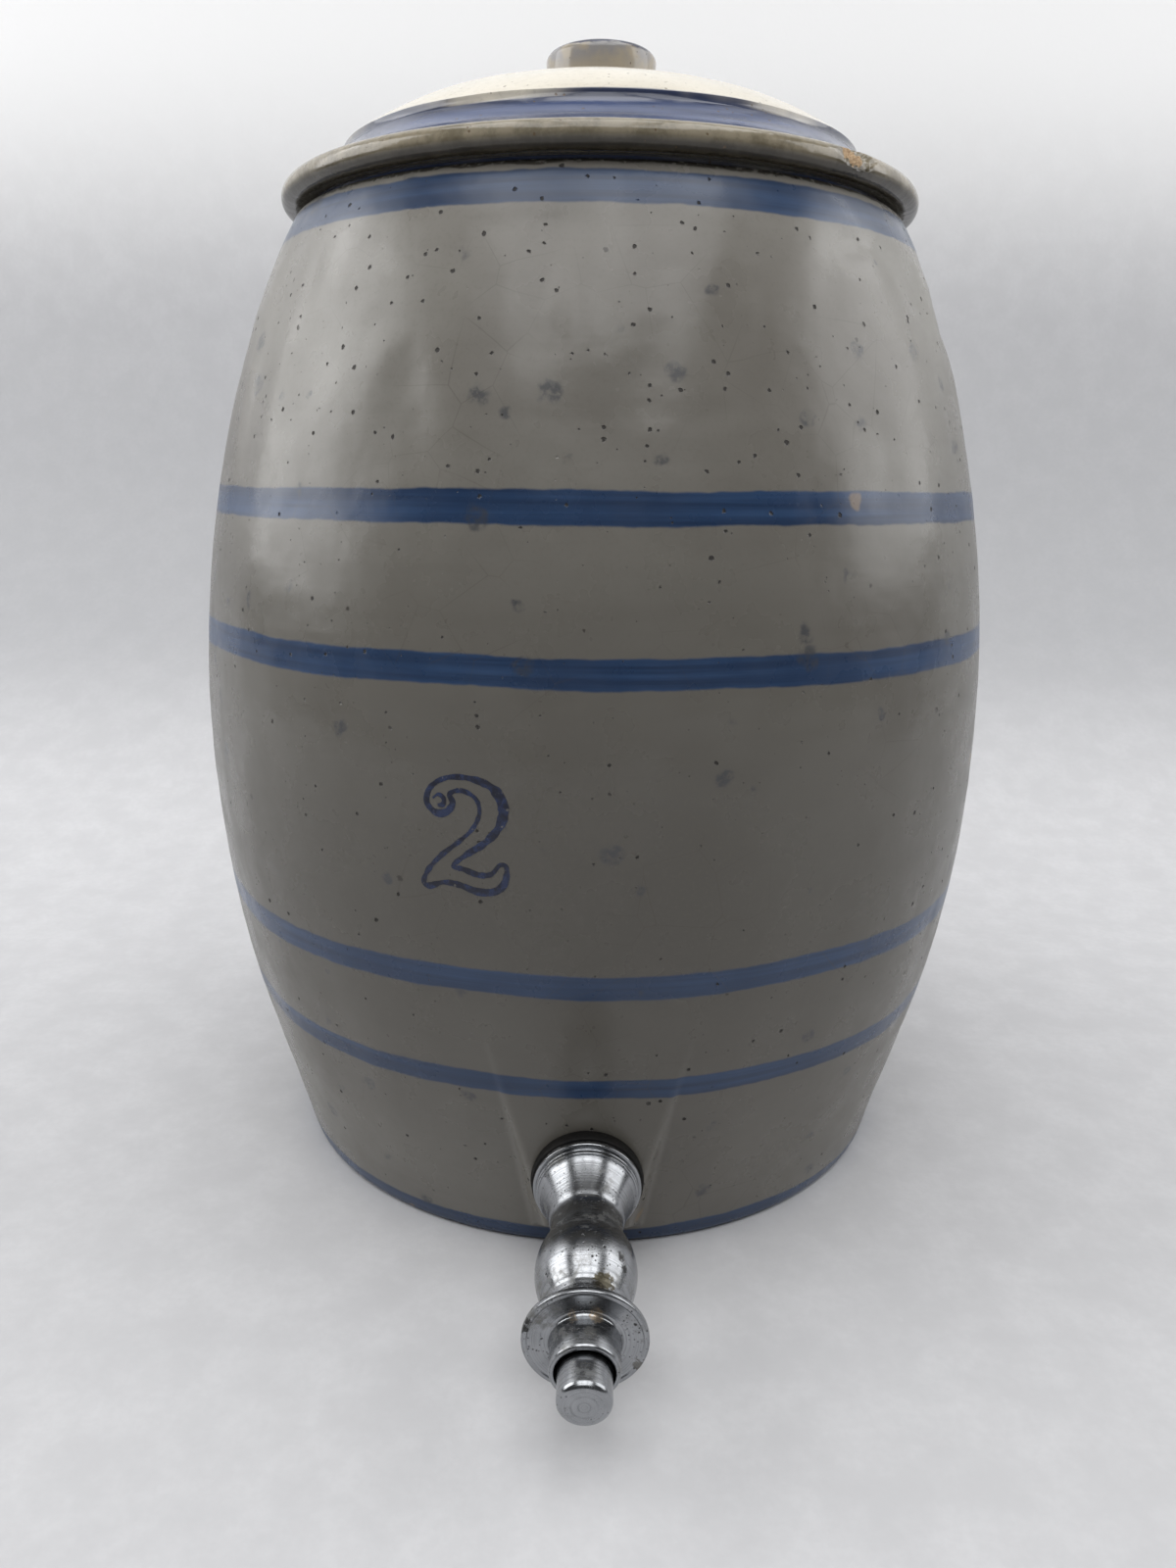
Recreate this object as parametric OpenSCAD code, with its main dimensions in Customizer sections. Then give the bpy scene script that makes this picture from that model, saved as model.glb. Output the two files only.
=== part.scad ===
// Stoneware water cooler: a banded two gallon crock, its lift-off lid and a
// push-button tap of plated brass with the valve inside.
// Millimetres, +Z up. The origin is the centre of the foot on the crock's
// axis, and the tap points towards -Y.

/* [Crock] */
// Height from the foot to the top of the rim
crock_h = 273.5; // [262:0.5:290]
// Diameter at the widest point
belly_d = 237; // [210:1:260]
// Height of the widest point
belly_z = 132; // [120:1:145]
// Height at which the straight heel turns into the curved side
heel_z = 40; // [30:1:55]
// Distance by which the foot's edge stands inside the widest point
foot_inset = 24; // [18:0.5:30]
// Distance by which the top of the heel stands inside the widest point
heel_inset = 13; // [8:0.5:16]
// Height of the shoulder, from where the side turns into it up to the rim
shoulder_h = 38.5; // [32:0.5:46]
// Distance by which the start of the shoulder stands inside the widest point
shoulder_inset = 15.5; // [12:0.5:19]
// Radius of the shoulder's curve
shoulder_curve = 180; // [150:1:210]
// Thickness of the clay wall
wall = 10; // [8:0.5:13]
// Thickness of the clay base
base_t = 11; // [8:0.5:12]
// Rounding of the outer edge of the rim
rim_round = 4; // [2:0.5:5]
// Rounding of the inner edge of the rim
mouth_round = 2.5; // [1:0.5:4]
// Rounding of the foot's outer edge
foot_round = 3; // [1:0.5:5]
// Rounding between the floor and the wall inside
floor_round = 6; // [3:0.5:8]

/* [Tap pad] */
// Height of the tap's axis above the foot, at the pad
tap_z = 28.6; // [27.5:0.1:29.5]
// Angle by which the pad leans and the tap points down
tap_tilt = 5; // [4:0.5:6]
// Distance by which the flat pad stands out of the wall at the gasket's upper edge
pad_proud = 0.5; // [0.3:0.1:1.5]
// Width of the pad at its foot
pad_low_w = 24; // [20:0.2:30]
// Width of the pad where it runs out into the wall
pad_high_w = 43.8; // [38:0.2:52]
// Distance from the tap's axis down to the pad's lower edge
pad_below = 17.9; // [17:0.1:19]
// Distance above the tap's axis at which the pad has its upper width
pad_above = 20.9; // [18:0.1:24]
// Rounding of the pad's edges
pad_round = 3; // [2:0.5:4]
// Diameter of the hole for the tap
hole_d = 19; // [18:0.2:22]
// Diameter of the flat seat round the hole inside
inner_seat_d = 34; // [31:0.5:36]

/* [Lid] */
// Distance by which the lid's rolled edge stands out over the rim
lid_overhang = 4.3; // [2:0.1:8]
// Thickness of the rolled edge
lid_edge = 6.4; // [5:0.2:8]
// Height of the lid's plateau above the rolled edge's underside
lid_rise = 31.5; // [27:0.5:38]
// Width of the rolled edge's foot and the banded cove, from the rim in to the dome
dome_inset = 13; // [10:0.5:18]
// Height of the foot of the dome above the rolled edge's underside
dome_z = 16.5; // [14:0.5:19]
// Diameter of the flat plateau round the knob
plateau_d = 50; // [44:1:70]
// Thickness of the lid
lid_t = 7.5; // [6:0.5:9]
// Gap all round between the mouth and the ring that keeps the lid in it
mouth_gap = 5.5; // [2:0.5:9]
// Width of that ring
locator_w = 5; // [3.5:0.5:7]
// Depth of that ring below the rim
locator_h = 6; // [4:0.5:10]
// Distance by which the lid's ledge stops short of the rim's rounded edge
ledge_in = 1; // [0.5:0.1:2]
// Diameter of the knob
knob_d = 31.2; // [26:0.2:38]
// Height of the knob above the plateau
knob_h = 14; // [11:0.5:18]
// Gap between the lid's ledge and the rim at rest
seat_gap = 0.3; // [0.2:0.1:0.5]
// Gap that shows between the lid's edge and the rim
edge_gap = 1; // [0.8:0.1:2]

/* [Tap body] */
// Thickness of the rubber gasket behind the tap
gasket_t = 3.5; // [2:0.5:5]
// Diameter of the rubber gaskets
gasket_d = 29.4; // [28.6:0.2:30]
// Diameter of the tap's rear ring
ring_d = 27.9; // [26.5:0.1:28.4]
// Width of the rear ring
ring_w = 1.6; // [1.2:0.1:2.4]
// Diameter of the second ring
step_d = 26.1; // [25.5:0.1:26.4]
// Width of the second ring
step_w = 2.4; // [1.6:0.1:3]
// Diameter where the bell meets the second ring
bell_d = 24.8; // [23.6:0.1:25.4]
// Diameter of the neck
neck_d = 17.7; // [17:0.1:18.6]
// Distance of the neck from the pad
neck_u = 19.5; // [18.5:0.5:21]
// Rounding between the straight bell and the neck
neck_round = 8; // [5:0.5:10]
// Diameter of the bulb
bulb_d = 24; // [23:0.1:25]
// Distance of the bulb's widest point from the pad
bulb_u = 34.5; // [33.5:0.5:36]
// Diameter of the tap's front end
front_d = 17.6; // [16.8:0.1:19]
// Distance of the front end from the pad
front_u = 49.4; // [48.6:0.1:50.4]
// Diameter of the threaded shank
shank_d = 17; // [16.4:0.1:17.6]
// Length of shank that stands out of the nut
shank_spare = 5; // [2:0.5:9]
// Bore of the shank
shank_bore = 12.4; // [12:0.1:13]
// Bore of the water way through the neck
way_d = 9.2; // [8.4:0.1:10]
// Bore of the chamber in the bulb
chamber_d = 14; // [13.4:0.1:14.6]
// Diameter of the boss that carries the spout
spout_boss_d = 12.4; // [11.6:0.2:14]
// Distance from the tap's axis down to the face of that boss
spout_boss_h = 13; // [12.6:0.1:14]

/* [Spout] */
// Distance from the tap's axis down to the mouth of the spout
spout_drop = 20.5; // [19.5:0.5:22]
// Outside diameter of the spout at its mouth
spout_d = 9.6; // [9:0.2:11]
// Bore of the spout
spout_bore = 6.4; // [5.4:0.2:7]
// Diameter of the thread that holds the spout
spout_thread_d = 8.4; // [8:0.1:9.2]

/* [Inside the crock] */
// Thickness of the inner gasket
inner_gasket_t = 3; // [2:0.5:4]
// Thickness of the brass washer
washer_t = 1.5; // [1:0.1:2.5]
// Diameter of the brass washer
washer_d = 27.5; // [26:0.5:29]
// Width of the shank nut across its flats
nut_af = 24; // [22:0.5:25]
// Thickness of the shank nut
nut_t = 7; // [5:0.5:9]

/* [Valve] */
// Distance of the valve seat's shoulder from the pad
seat_u = 15; // [14:0.5:16]
// Thickness of the valve seat ring
seat_t = 3; // [2:0.2:4]
// Height of the seat's rounded lip
seat_lip = 0.8; // [0.6:0.1:1.2]
// Opening of the valve seat
seat_bore = 7.2; // [6.8:0.1:7.6]
// Thickness of the rubber seat washer
rubber_t = 2; // [1.5:0.1:2.5]
// Diameter of the rubber seat washer
rubber_d = 9.2; // [8.8:0.1:9.4]
// Thickness of the plate that carries it
plate_t = 2; // [1.5:0.1:2.5]
// Rim of the plate round the rubber
plate_rim = 0.6; // [0.4:0.1:0.7]
// Thickness of the nut that clamps them
disc_nut_t = 2.8; // [2:0.1:3.5]
// Width of that nut across its flats
disc_nut_af = 6; // [5:0.1:7]
// Diameter of the valve stem
stem_d = 4; // [3.6:0.1:4.4]
// Diameter of the stem's threaded ends
thread_d = 3; // [2.6:0.1:3.2]
// Diameter of the stem's clamping shoulder
shoulder_ring_d = 5.8; // [5.2:0.1:6.2]
// Width of the stem's clamping shoulder
shoulder_ring_w = 1.2; // [1:0.1:2]

/* [Bonnet] */
// Thickness of the fibre gasket under the bonnet
bonnet_gasket_t = 0.6; // [0.4:0.1:1]
// Diameter of the bonnet behind the finger flange
bonnet_d = 18.4; // [17.6:0.2:20]
// Distance from the fibre gasket to the finger flange
bonnet_w = 2.6; // [2.2:0.1:3.4]
// Length of the bonnet's thread in the body
bonnet_spigot = 7; // [5:0.5:8]
// Diameter of the finger flange
flange_d = 28; // [26:0.2:29]
// Thickness of the finger flange
flange_t = 1.8; // [1.6:0.1:2.4]
// Depth of the dish in the flange's face
dish = 0.4; // [0.2:0.1:0.6]
// Diameter of the collar round the button
collar_d = 15.5; // [15:0.1:16]
// Length of the collar in front of the flange
collar_h = 8.4; // [7.6:0.1:9.4]
// Bore of the collar
collar_bore = 13.2; // [12.8:0.1:13.6]
// Thickness of the bonnet's floor, which guides the stem
bonnet_floor = 3; // [2.5:0.1:3.4]
// Bore of the stuffing box
box_bore = 9.2; // [8.4:0.1:10]
// Thickness of the stem packing
packing_t = 4; // [3:0.1:4.5]
// Thickness of the packing gland
gland_t = 3; // [2.4:0.1:3.5]

/* [Button and spring] */
// Diameter of the push button
button_d = 11.8; // [11.4:0.1:12.2]
// Distance of the button's face from the collar's front edge
button_proud = 8.2; // [7.4:0.1:9.2]
// Room left behind the button when it is pushed in
button_spare = 0.8; // [0.5:0.1:1.4]
// Travel of the button
button_travel = 4.5; // [3:0.1:4.5]
// Rounding of the button's face
button_round = 1.6; // [0.8:0.1:2]
// Thickness of the button's face
button_face = 3.2; // [2.4:0.1:3.6]
// Thickness of the button's skirt
button_skirt = 1.1; // [0.8:0.1:1.4]
// Diameter of the boss in the button that takes the stem
button_boss_d = 5.6; // [5:0.1:6]
// Wire of the return spring
wire_d = 0.7; // [0.5:0.05:0.8]
// Mean diameter of the return spring
coil_d = 7.7; // [7.4:0.1:7.9]
// Turns of the return spring
coils = 8; // [6:1:9]
// Thickness of the washer under the spring
spring_washer_t = 0.5; // [0.3:0.1:0.8]

/* [Fits] */
// Radial clearance of threads and pressed-in pieces
fit = 0.05; // [0.03:0.01:0.1]
// Radial clearance of the sliding stem
slide_fit = 0.05; // [0.03:0.01:0.1]
// Gap between the rubber and its seat when the valve is shut
valve_gap = 0.05; // [0.02:0.01:0.1]

/* [Hidden] */

$fn = 96;
// Large arcs are drawn finely so that their chords lie close to the curve.
arc_fn = 720;
// Steps of each curve and each rounding in the crock's outline.
curve_steps = 18;
round_steps = 6;
// Length by which a cut runs past the face that it opens.
over = 1;
// Distance from the flange's back forward to the face of the bonnet's floor
floor_in = 0.6;
// Distance from the neck forward to the chamber's floor
chamber_in = 5;
// Length of stem that stands out of the nut at its end
stem_spare = 0.8;
// Distance of the stem's step from the button's rear, and depth of its thread in the button's face
stem_step_in = 2;
stem_grip = 1;

// Radii of the crock's outline, and the height of its shoulder
belly_r = belly_d / 2;
foot_r = belly_r - foot_inset;
heel_r = belly_r - heel_inset;
shoulder_r = belly_r - shoulder_inset;
shoulder_z = crock_h - shoulder_h;

// Radius of the curve that starts upright at the belly and passes a lower point.
function belly_curve(dr, dz) = (dr * dr + dz * dz) / (2 * dr);
low_curve = belly_curve(belly_r - heel_r, belly_z - heel_z);
high_curve = belly_curve(belly_r - shoulder_r, shoulder_z - belly_z);
low_c = [belly_r - low_curve, belly_z];
high_c = [belly_r - high_curve, belly_z];

// The shoulder's curve leaves the side without a kink and runs up to the rim.
shoulder_n = [shoulder_r - high_c.x, shoulder_z - high_c.y] / high_curve;
shoulder_c = [shoulder_r, shoulder_z] - shoulder_curve * shoulder_n;
rim_r = beside(shoulder_c, shoulder_curve, crock_h).x;

// The inner face runs parallel to the outer one.
heel_n = [heel_r - low_c.x, heel_z - low_c.y] / low_curve;
heel_in = [heel_r, heel_z] - wall * heel_n;
shoulder_in = [shoulder_r, shoulder_z] - wall * shoulder_n;
heel_slope = (heel_r - foot_r) / heel_z;
lean = atan(heel_slope);
// Share of its radius by which a rounding at the foot of the leaning wall stands in.
bevel = (1 - sin(lean)) / cos(lean);
function heel_inner_r(z) = heel_in.x - heel_slope * (heel_in.y - z);
// Outer radius of the heel, or of the curve above it
function outer_r(z) = z < heel_z ? heel_r - heel_slope * (heel_z - z) : beside(low_c, low_curve, z).x;

// Centres of the roundings along the rim's outer and inner edges
rim_edge_c = beside(shoulder_c, shoulder_curve - rim_round, crock_h - rim_round);
inner_curve = shoulder_curve - wall;
mouth_c = beside(shoulder_c, inner_curve + mouth_round, crock_h - mouth_round);

// Tap: distances along its axis are measured from the pad's face, which leans with it.
// The face clears the curved wall at the gasket's upper edge, and the seat inside
// clears the wall at the gasket's lower edge.
gasket_r = gasket_d / 2;
gasket_back = gasket_r * sin(tap_tilt);
gasket_up = gasket_r * cos(tap_tilt);
pad_face = outer_r(tap_z + gasket_up) + pad_proud - gasket_back;
clay_t = (pad_face - gasket_back - heel_inner_r(tap_z - gasket_up) + seat_gap)
    / (cos(tap_tilt) + heel_slope * sin(tap_tilt));
inner_gasket_u = -clay_t - inner_gasket_t;
washer_u = inner_gasket_u - washer_t;
nut_u = washer_u - nut_t;
shank_end = nut_u - shank_spare;
ring_u = gasket_t;
step_u = ring_u + ring_w;
bell_u = step_u + step_w;

// The straight bell touches the rounding behind the neck.
bell_edge = [bell_d / 2, bell_u];
throat_c = [neck_d / 2 + neck_round, neck_u];
bell_turn = heading(bell_edge, throat_c) + asin(neck_round / norm(throat_c - bell_edge));

// In front, the neck's hollow curve and the bulb's full one share a radius and meet
// without a kink.
tap_curve = belly_curve((bulb_d - neck_d) / 2, bulb_u - neck_u) / 2;
neck_c = [neck_d / 2 + tap_curve, neck_u];
bulb_c = [bulb_d / 2 - tap_curve, bulb_u];
tap_meet = [(neck_c.x + bulb_c.x) / 2, (neck_c.y + bulb_c.y) / 2];

// Bonnet, from its gasket outwards
bonnet_u = front_u + bonnet_gasket_t;
flange_u = bonnet_u + bonnet_w;
collar_u = flange_u + flange_t;
collar_end = collar_u + collar_h;
floor_u = flange_u + floor_in;
box_end = floor_u - bonnet_floor;
packing_u = box_end - packing_t;
gland_u = packing_u - gland_t;
stem_hole = stem_d + 2 * slide_fit;

// Button group
button_end = collar_end + button_proud;
spring_u = floor_u + spring_washer_t;
button_rear = spring_u + button_travel + button_spare;
button_in = button_end - button_face;
stem_step = button_rear + stem_step_in;
chamber_u = neck_u + chamber_in;

// Valve
lip_u = seat_u - seat_t - seat_lip;
rubber_u = lip_u - valve_gap - rubber_t;
plate_u = rubber_u - plate_t;
disc_nut_u = plate_u - disc_nut_t;
stem_end = disc_nut_u - stem_spare;

// Lid's heights and radii
lid_z = crock_h + edge_gap;
lid_r = rim_r + lid_overhang;
dome_r = rim_r - dome_inset;
plateau_r = plateau_d / 2;
locator_r = mouth_c.x - mouth_round - mouth_gap;
plateau_z = lid_z + lid_rise;
knob_z = plateau_z + knob_h;

// Places its children where the tap's axis meets the pad, leaning with the tap.
module tap_frame() {
    translate([0, -pad_face, tap_z])
        rotate([tap_tilt, 0, 0])
            children();
}

// Places its children on the tap's axis, u in front of the pad.
module on_tap(u = 0) {
    tap_frame()
        translate([0, -u, 0])
            rotate([90, 0, 0])
                children();
}

// A disc or tube on the local Z axis, from z0 to z1.
module tube(d, bore, z0, z1) {
    translate([0, 0, z0])
        difference() {
            cylinder(d = d, h = z1 - z0);
            translate([0, 0, -over])
                cylinder(d = bore, h = z1 - z0 + 2 * over);
        }
}

// The part of a circle round c that lies between the heights z0 and z1.
module arc_band(c, r, z0, z1) {
    intersection() {
        translate(c)
            circle(r = r, $fn = arc_fn);
        translate([0, z0])
            square([c.x + r + over, z1 - z0]);
    }
}

// What lies outside a circle of radius r round c, between two directions in degrees:
// the waste of a rounded edge, or the filling of a rounded corner.
module corner(c, r, from, to) {
    mid = (from + to) / 2;
    reach = r / cos((to - from) / 2) + 0.01;
    difference() {
        polygon([c, c + reach * [cos(from), sin(from)], c + 1.6 * reach * [cos(mid), sin(mid)],
            c + reach * [cos(to), sin(to)]]);
        translate(c)
            circle(r = r);
    }
}

// Centre of a circle of radius r at the height z, whose distance from c is d.
function beside(c, d, z) = [c.x + sqrt(d * d - (z - c.y) * (z - c.y)), z];
// Direction from one point to another, in degrees
function heading(a, b) = atan2(b.y - a.y, b.x - a.x);

// ---- Crock ----

// Points of a curve round c with radius r, from the height z0 to z1
function curve(c, r, z0, z1) = [for (i = [0:curve_steps])
    beside(c, r, z0 + (z1 - z0) * i / curve_steps)];

// Points of a rounded edge or corner round c, between two directions in degrees
function rounding(c, r, from, to) = [for (i = [0:round_steps])
    let (a = from + (to - from) * i / round_steps)
    c + r * [cos(a), sin(a)]];

// The crock's outline, solid to its axis
module crock_outline() {
    turn = heading(shoulder_c, rim_edge_c);
    polygon(concat(
        [[0, 0]],
        rounding([foot_r - foot_round * bevel, foot_round], foot_round, -90, -lean),
        curve(low_c, low_curve, heel_z, belly_z),
        curve(high_c, high_curve, belly_z, shoulder_z),
        curve(shoulder_c, shoulder_curve, shoulder_z, shoulder_c.y + shoulder_curve * sin(turn)),
        rounding(rim_edge_c, rim_round, turn, 90),
        [[0, crock_h]]));
}

// The hollow, with a rounded floor and a rounded mouth
module crock_hollow() {
    turn = heading(shoulder_c, mouth_c);
    floor_c = [heel_inner_r(base_t) - floor_round * bevel, base_t + floor_round];
    polygon(concat(
        [[0, base_t]],
        rounding(floor_c, floor_round, -90, -lean),
        curve(low_c, low_curve - wall, heel_in.y, belly_z),
        curve(high_c, high_curve - wall, belly_z, shoulder_in.y),
        curve(shoulder_c, inner_curve, shoulder_in.y, shoulder_c.y + inner_curve * sin(turn)),
        rounding(mouth_c, mouth_round, 180 + turn, 90),
        [[mouth_c.x, crock_h + over], [0, crock_h + over]]));
}

// The flat pad: a wedge with rounded edges that widens upwards and runs out into the wall.
module tap_pad() {
    run_out = 12;
    spread = (pad_high_w - pad_low_w) / (pad_above + pad_below);
    top_w = pad_high_w + spread * run_out;
    depth = 2 * wall;
    tap_frame()
        hull()
            for (side = [-1, 1], end = [[pad_low_w / 2, pad_round - pad_below],
                [top_w / 2, pad_above + run_out]]) {
                translate([side * (end.x - pad_round), pad_round, end.y])
                    sphere(r = pad_round, $fn = 32);
                translate([side * (end.x + pad_round), depth, end.y - pad_round])
                    sphere(r = over, $fn = 16);
            }
}

module crock() {
    color("#b9b4aa")
        difference() {
            union() {
                difference() {
                    union() {
                        rotate_extrude($fn = 180)
                            crock_outline();
                        tap_pad();
                    }
                    rotate_extrude($fn = 180)
                        crock_hollow();
                }
                on_tap(-clay_t)
                    cylinder(d = inner_seat_d, h = wall);
            }
            on_tap(-clay_t - over)
                cylinder(d = hole_d, h = clay_t + 2 * over);
        }
}

// ---- Lid ----

module lid_section() {
    edge_r = lid_edge / 2;
    edge_c = [lid_r - edge_r, lid_z + edge_r];
    ledge_z = crock_h + seat_gap;
    // The dome's curve lies level at the plateau's edge and falls to the dome's foot.
    dome_curve = belly_curve(plateau_z - lid_z - dome_z, dome_r - plateau_r);
    dome_c = [plateau_r, plateau_z - dome_curve];
    // The cove is hollow, from the rolled edge up to a small step below the dome.
    cove_step = 1.4;
    cove_low = edge_c + edge_r * [cos(105), sin(105)];
    cove_top = [dome_r, lid_z + dome_z - cove_step];
    cove_chord = cove_top - cove_low;
    // The cove's radius is this many times the length of its chord.
    cove_open = 1.68;
    cove_r = cove_open * norm(cove_chord);
    cove_c = (cove_top + cove_low) / 2
        + sqrt(cove_open * cove_open - 1 / 4) * [cove_chord.y, -cove_chord.x];
    under_curve = dome_curve - lid_t;
    difference() {
        union() {
            translate(edge_c)
                circle(r = edge_r);
            polygon([[0, lid_z], [edge_c.x, lid_z], edge_c, cove_low, cove_top,
                [dome_r, lid_z + dome_z], [0, lid_z + dome_z]]);
            intersection() {
                translate(dome_c)
                    circle(r = dome_curve, $fn = arc_fn);
                translate([plateau_r, lid_z])
                    square([dome_r - plateau_r, lid_rise]);
            }
            translate([0, lid_z])
                square([plateau_r, lid_rise]);
            // Ledge and locating ring
            translate([locator_r - locator_w, ledge_z - locator_h - seat_gap])
                square([locator_w, locator_h + seat_gap + edge_gap]);
            translate([locator_r - over, ledge_z])
                square([rim_edge_c.x - ledge_in - locator_r + over, edge_gap - seat_gap + over]);
        }
        translate(cove_c)
            circle(r = cove_r, $fn = arc_fn);
        // Hollow underside, parallel to the dome
        intersection() {
            translate(dome_c)
                circle(r = under_curve, $fn = arc_fn);
            translate([plateau_r, 0])
                square([locator_r - locator_w - plateau_r, 2 * crock_h]);
        }
        translate([0, lid_z - over])
            square([plateau_r, lid_rise - lid_t + over]);
    }
}

module knob_section() {
    knob_r = knob_d / 2;
    // Rounding of the top edge, and of the hollow foot
    edge = 2.2;
    foot = 2;
    difference() {
        translate([0, plateau_z - over])
            square([knob_r + foot, knob_h + over]);
        translate([knob_r + foot, plateau_z + foot])
            circle(r = foot);
        translate([knob_r, plateau_z + foot])
            square([foot + over, knob_h]);
        corner([knob_r - edge, knob_z - edge], edge, 0, 90);
    }
}

module lid() {
    color("#cfc8b8")
        rotate_extrude($fn = 180) {
            lid_section();
            knob_section();
        }
}

// ---- Tap ----

module outer_gasket() {
    color("#1b1b1c")
        on_tap()
            tube(gasket_d, shank_d + 2 * fit, 0, gasket_t);
}

// Outline of the turned body: rings, bell, neck, bulb and front end
module body_section() {
    translate([0, ring_u])
        square([ring_d / 2, ring_w]);
    translate([0, step_u])
        square([step_d / 2, step_w]);
    polygon(concat([[0, bell_u], bell_edge], rounding(throat_c, neck_round, bell_turn + 90, 180),
        [[0, neck_u]]));
    difference() {
        translate([0, neck_u])
            square([bulb_d / 2, tap_meet.y - neck_u]);
        translate(neck_c)
            circle(r = tap_curve, $fn = arc_fn);
    }
    arc_band(bulb_c, tap_curve, tap_meet.y, front_u);
    translate([0, bulb_u])
        square([front_d / 2, front_u - bulb_u]);
}

module tap_body() {
    color("#b8bcc0")
        difference() {
            union() {
                on_tap()
                    rotate_extrude()
                        body_section();
                on_tap(shank_end)
                    cylinder(d = shank_d, h = ring_u - shank_end + over);
                on_tap(bulb_u)
                    rotate([90, 0, 0])
                        cylinder(d = spout_boss_d, h = spout_boss_h);
            }
            on_tap(shank_end - over)
                cylinder(d = shank_bore, h = seat_u - shank_end + over);
            on_tap(0)
                cylinder(d = way_d, h = chamber_u + over);
            on_tap(chamber_u)
                cylinder(d = chamber_d, h = front_u - chamber_u + over);
            on_tap(bulb_u)
                rotate([90, 0, 0])
                    cylinder(d = spout_thread_d + 2 * fit, h = spout_boss_h + over);
        }
}

// The spout screws into the boss from below; its heights run down from the tap's axis.
module spout() {
    // Gap between the end of the thread and the chamber
    thread_gap = 0.5;
    // Collar under the boss, and the bead and its bevels at the mouth
    collar = 1.2;
    bead = 2;
    bevel_h = 0.6;
    bevel_w = 0.4;
    top = chamber_d / 2 + thread_gap;
    boss_r = spout_boss_d / 2;
    tip_r = spout_d / 2;
    color("#b8bcc0")
        on_tap(bulb_u)
            rotate([90, 0, 0])
                rotate_extrude()
                    difference() {
                        union() {
                            translate([0, top])
                                square([spout_thread_d / 2, spout_boss_h - top]);
                            polygon([[0, spout_boss_h], [boss_r, spout_boss_h],
                                [boss_r, spout_boss_h + collar],
                                [boss_r - bevel_h, spout_boss_h + collar + bevel_w],
                                [tip_r - bevel_w, spout_drop - bead - bevel_h],
                                [tip_r, spout_drop - bead], [tip_r, spout_drop - bevel_h],
                                [tip_r - bevel_w, spout_drop], [0, spout_drop]]);
                        }
                        translate([-over, top - over])
                            square([spout_bore / 2 + over, spout_drop - top + 2 * over]);
                    }
}

module inner_gasket() {
    color("#1b1b1c")
        on_tap()
            tube(gasket_d, shank_d + 2 * fit, inner_gasket_u, -clay_t);
}

module shank_washer() {
    color("#b08d4c")
        on_tap()
            tube(washer_d, shank_d + 4 * fit, washer_u, inner_gasket_u);
}

// A hexagon nut with its corners chamfered, from z0 to z1
module hex_nut(across, bore, z0, z1) {
    corner_d = across / cos(30);
    chamfer = (corner_d - across) / 2;
    difference() {
        intersection() {
            translate([0, 0, z0])
                cylinder(d = corner_d, h = z1 - z0, $fn = 6);
            rotate_extrude()
                polygon([[0, z0], [across / 2, z0], [corner_d / 2, z0 + chamfer],
                    [corner_d / 2, z1 - chamfer], [across / 2, z1], [0, z1]]);
        }
        translate([0, 0, z0 - over])
            cylinder(d = bore, h = z1 - z0 + 2 * over);
    }
}

module shank_nut() {
    color("#b08d4c")
        on_tap()
            hex_nut(nut_af, shank_d + 2 * fit, nut_u, washer_u);
}

// ---- Valve ----

module valve_seat() {
    // Width of the lip, and its distance from the opening
    lip_w = 1;
    lip_in = 0.3;
    lip_r = seat_bore / 2 + lip_in + lip_w / 2;
    color("#b08d4c")
        on_tap()
            rotate_extrude()
                difference() {
                    union() {
                        translate([0, seat_u - seat_t])
                            square([shank_bore / 2 - fit, seat_t]);
                        translate([lip_r - lip_w / 2, lip_u + lip_w / 2])
                            square([lip_w, seat_lip]);
                        translate([lip_r, lip_u + lip_w / 2])
                            circle(d = lip_w);
                    }
                    translate([-over, lip_u - over])
                        square([seat_bore / 2 + over, seat_t + seat_lip + 2 * over]);
                }
}

module valve_stem() {
    color("#b08d4c")
        on_tap() {
            translate([0, 0, stem_end])
                cylinder(d = thread_d, h = lip_u - valve_gap - stem_end);
            translate([0, 0, lip_u - valve_gap])
                cylinder(d = shoulder_ring_d, h = shoulder_ring_w);
            translate([0, 0, lip_u - valve_gap])
                cylinder(d = stem_d, h = stem_step - lip_u + valve_gap);
            translate([0, 0, stem_step])
                cylinder(d = thread_d, h = button_in - stem_step + stem_grip);
        }
}

module seat_washer() {
    color("#1b1b1c")
        on_tap()
            tube(rubber_d, thread_d + 2 * fit, rubber_u, rubber_u + rubber_t);
}

module disc_plate() {
    rim_h = rubber_t / 2;
    color("#b08d4c")
        on_tap() {
            tube(rubber_d + 2 * fit + 2 * plate_rim, thread_d + 2 * fit, plate_u, rubber_u);
            tube(rubber_d + 2 * fit + 2 * plate_rim, rubber_d + 2 * fit, rubber_u, rubber_u + rim_h);
        }
}

module disc_nut() {
    color("#b08d4c")
        on_tap()
            hex_nut(disc_nut_af, thread_d + 2 * fit, disc_nut_u, plate_u);
}

// ---- Bonnet ----

module bonnet_gasket() {
    color("#6d3b2a")
        on_tap()
            tube(front_d, chamber_d, front_u, bonnet_u);
}

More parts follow.
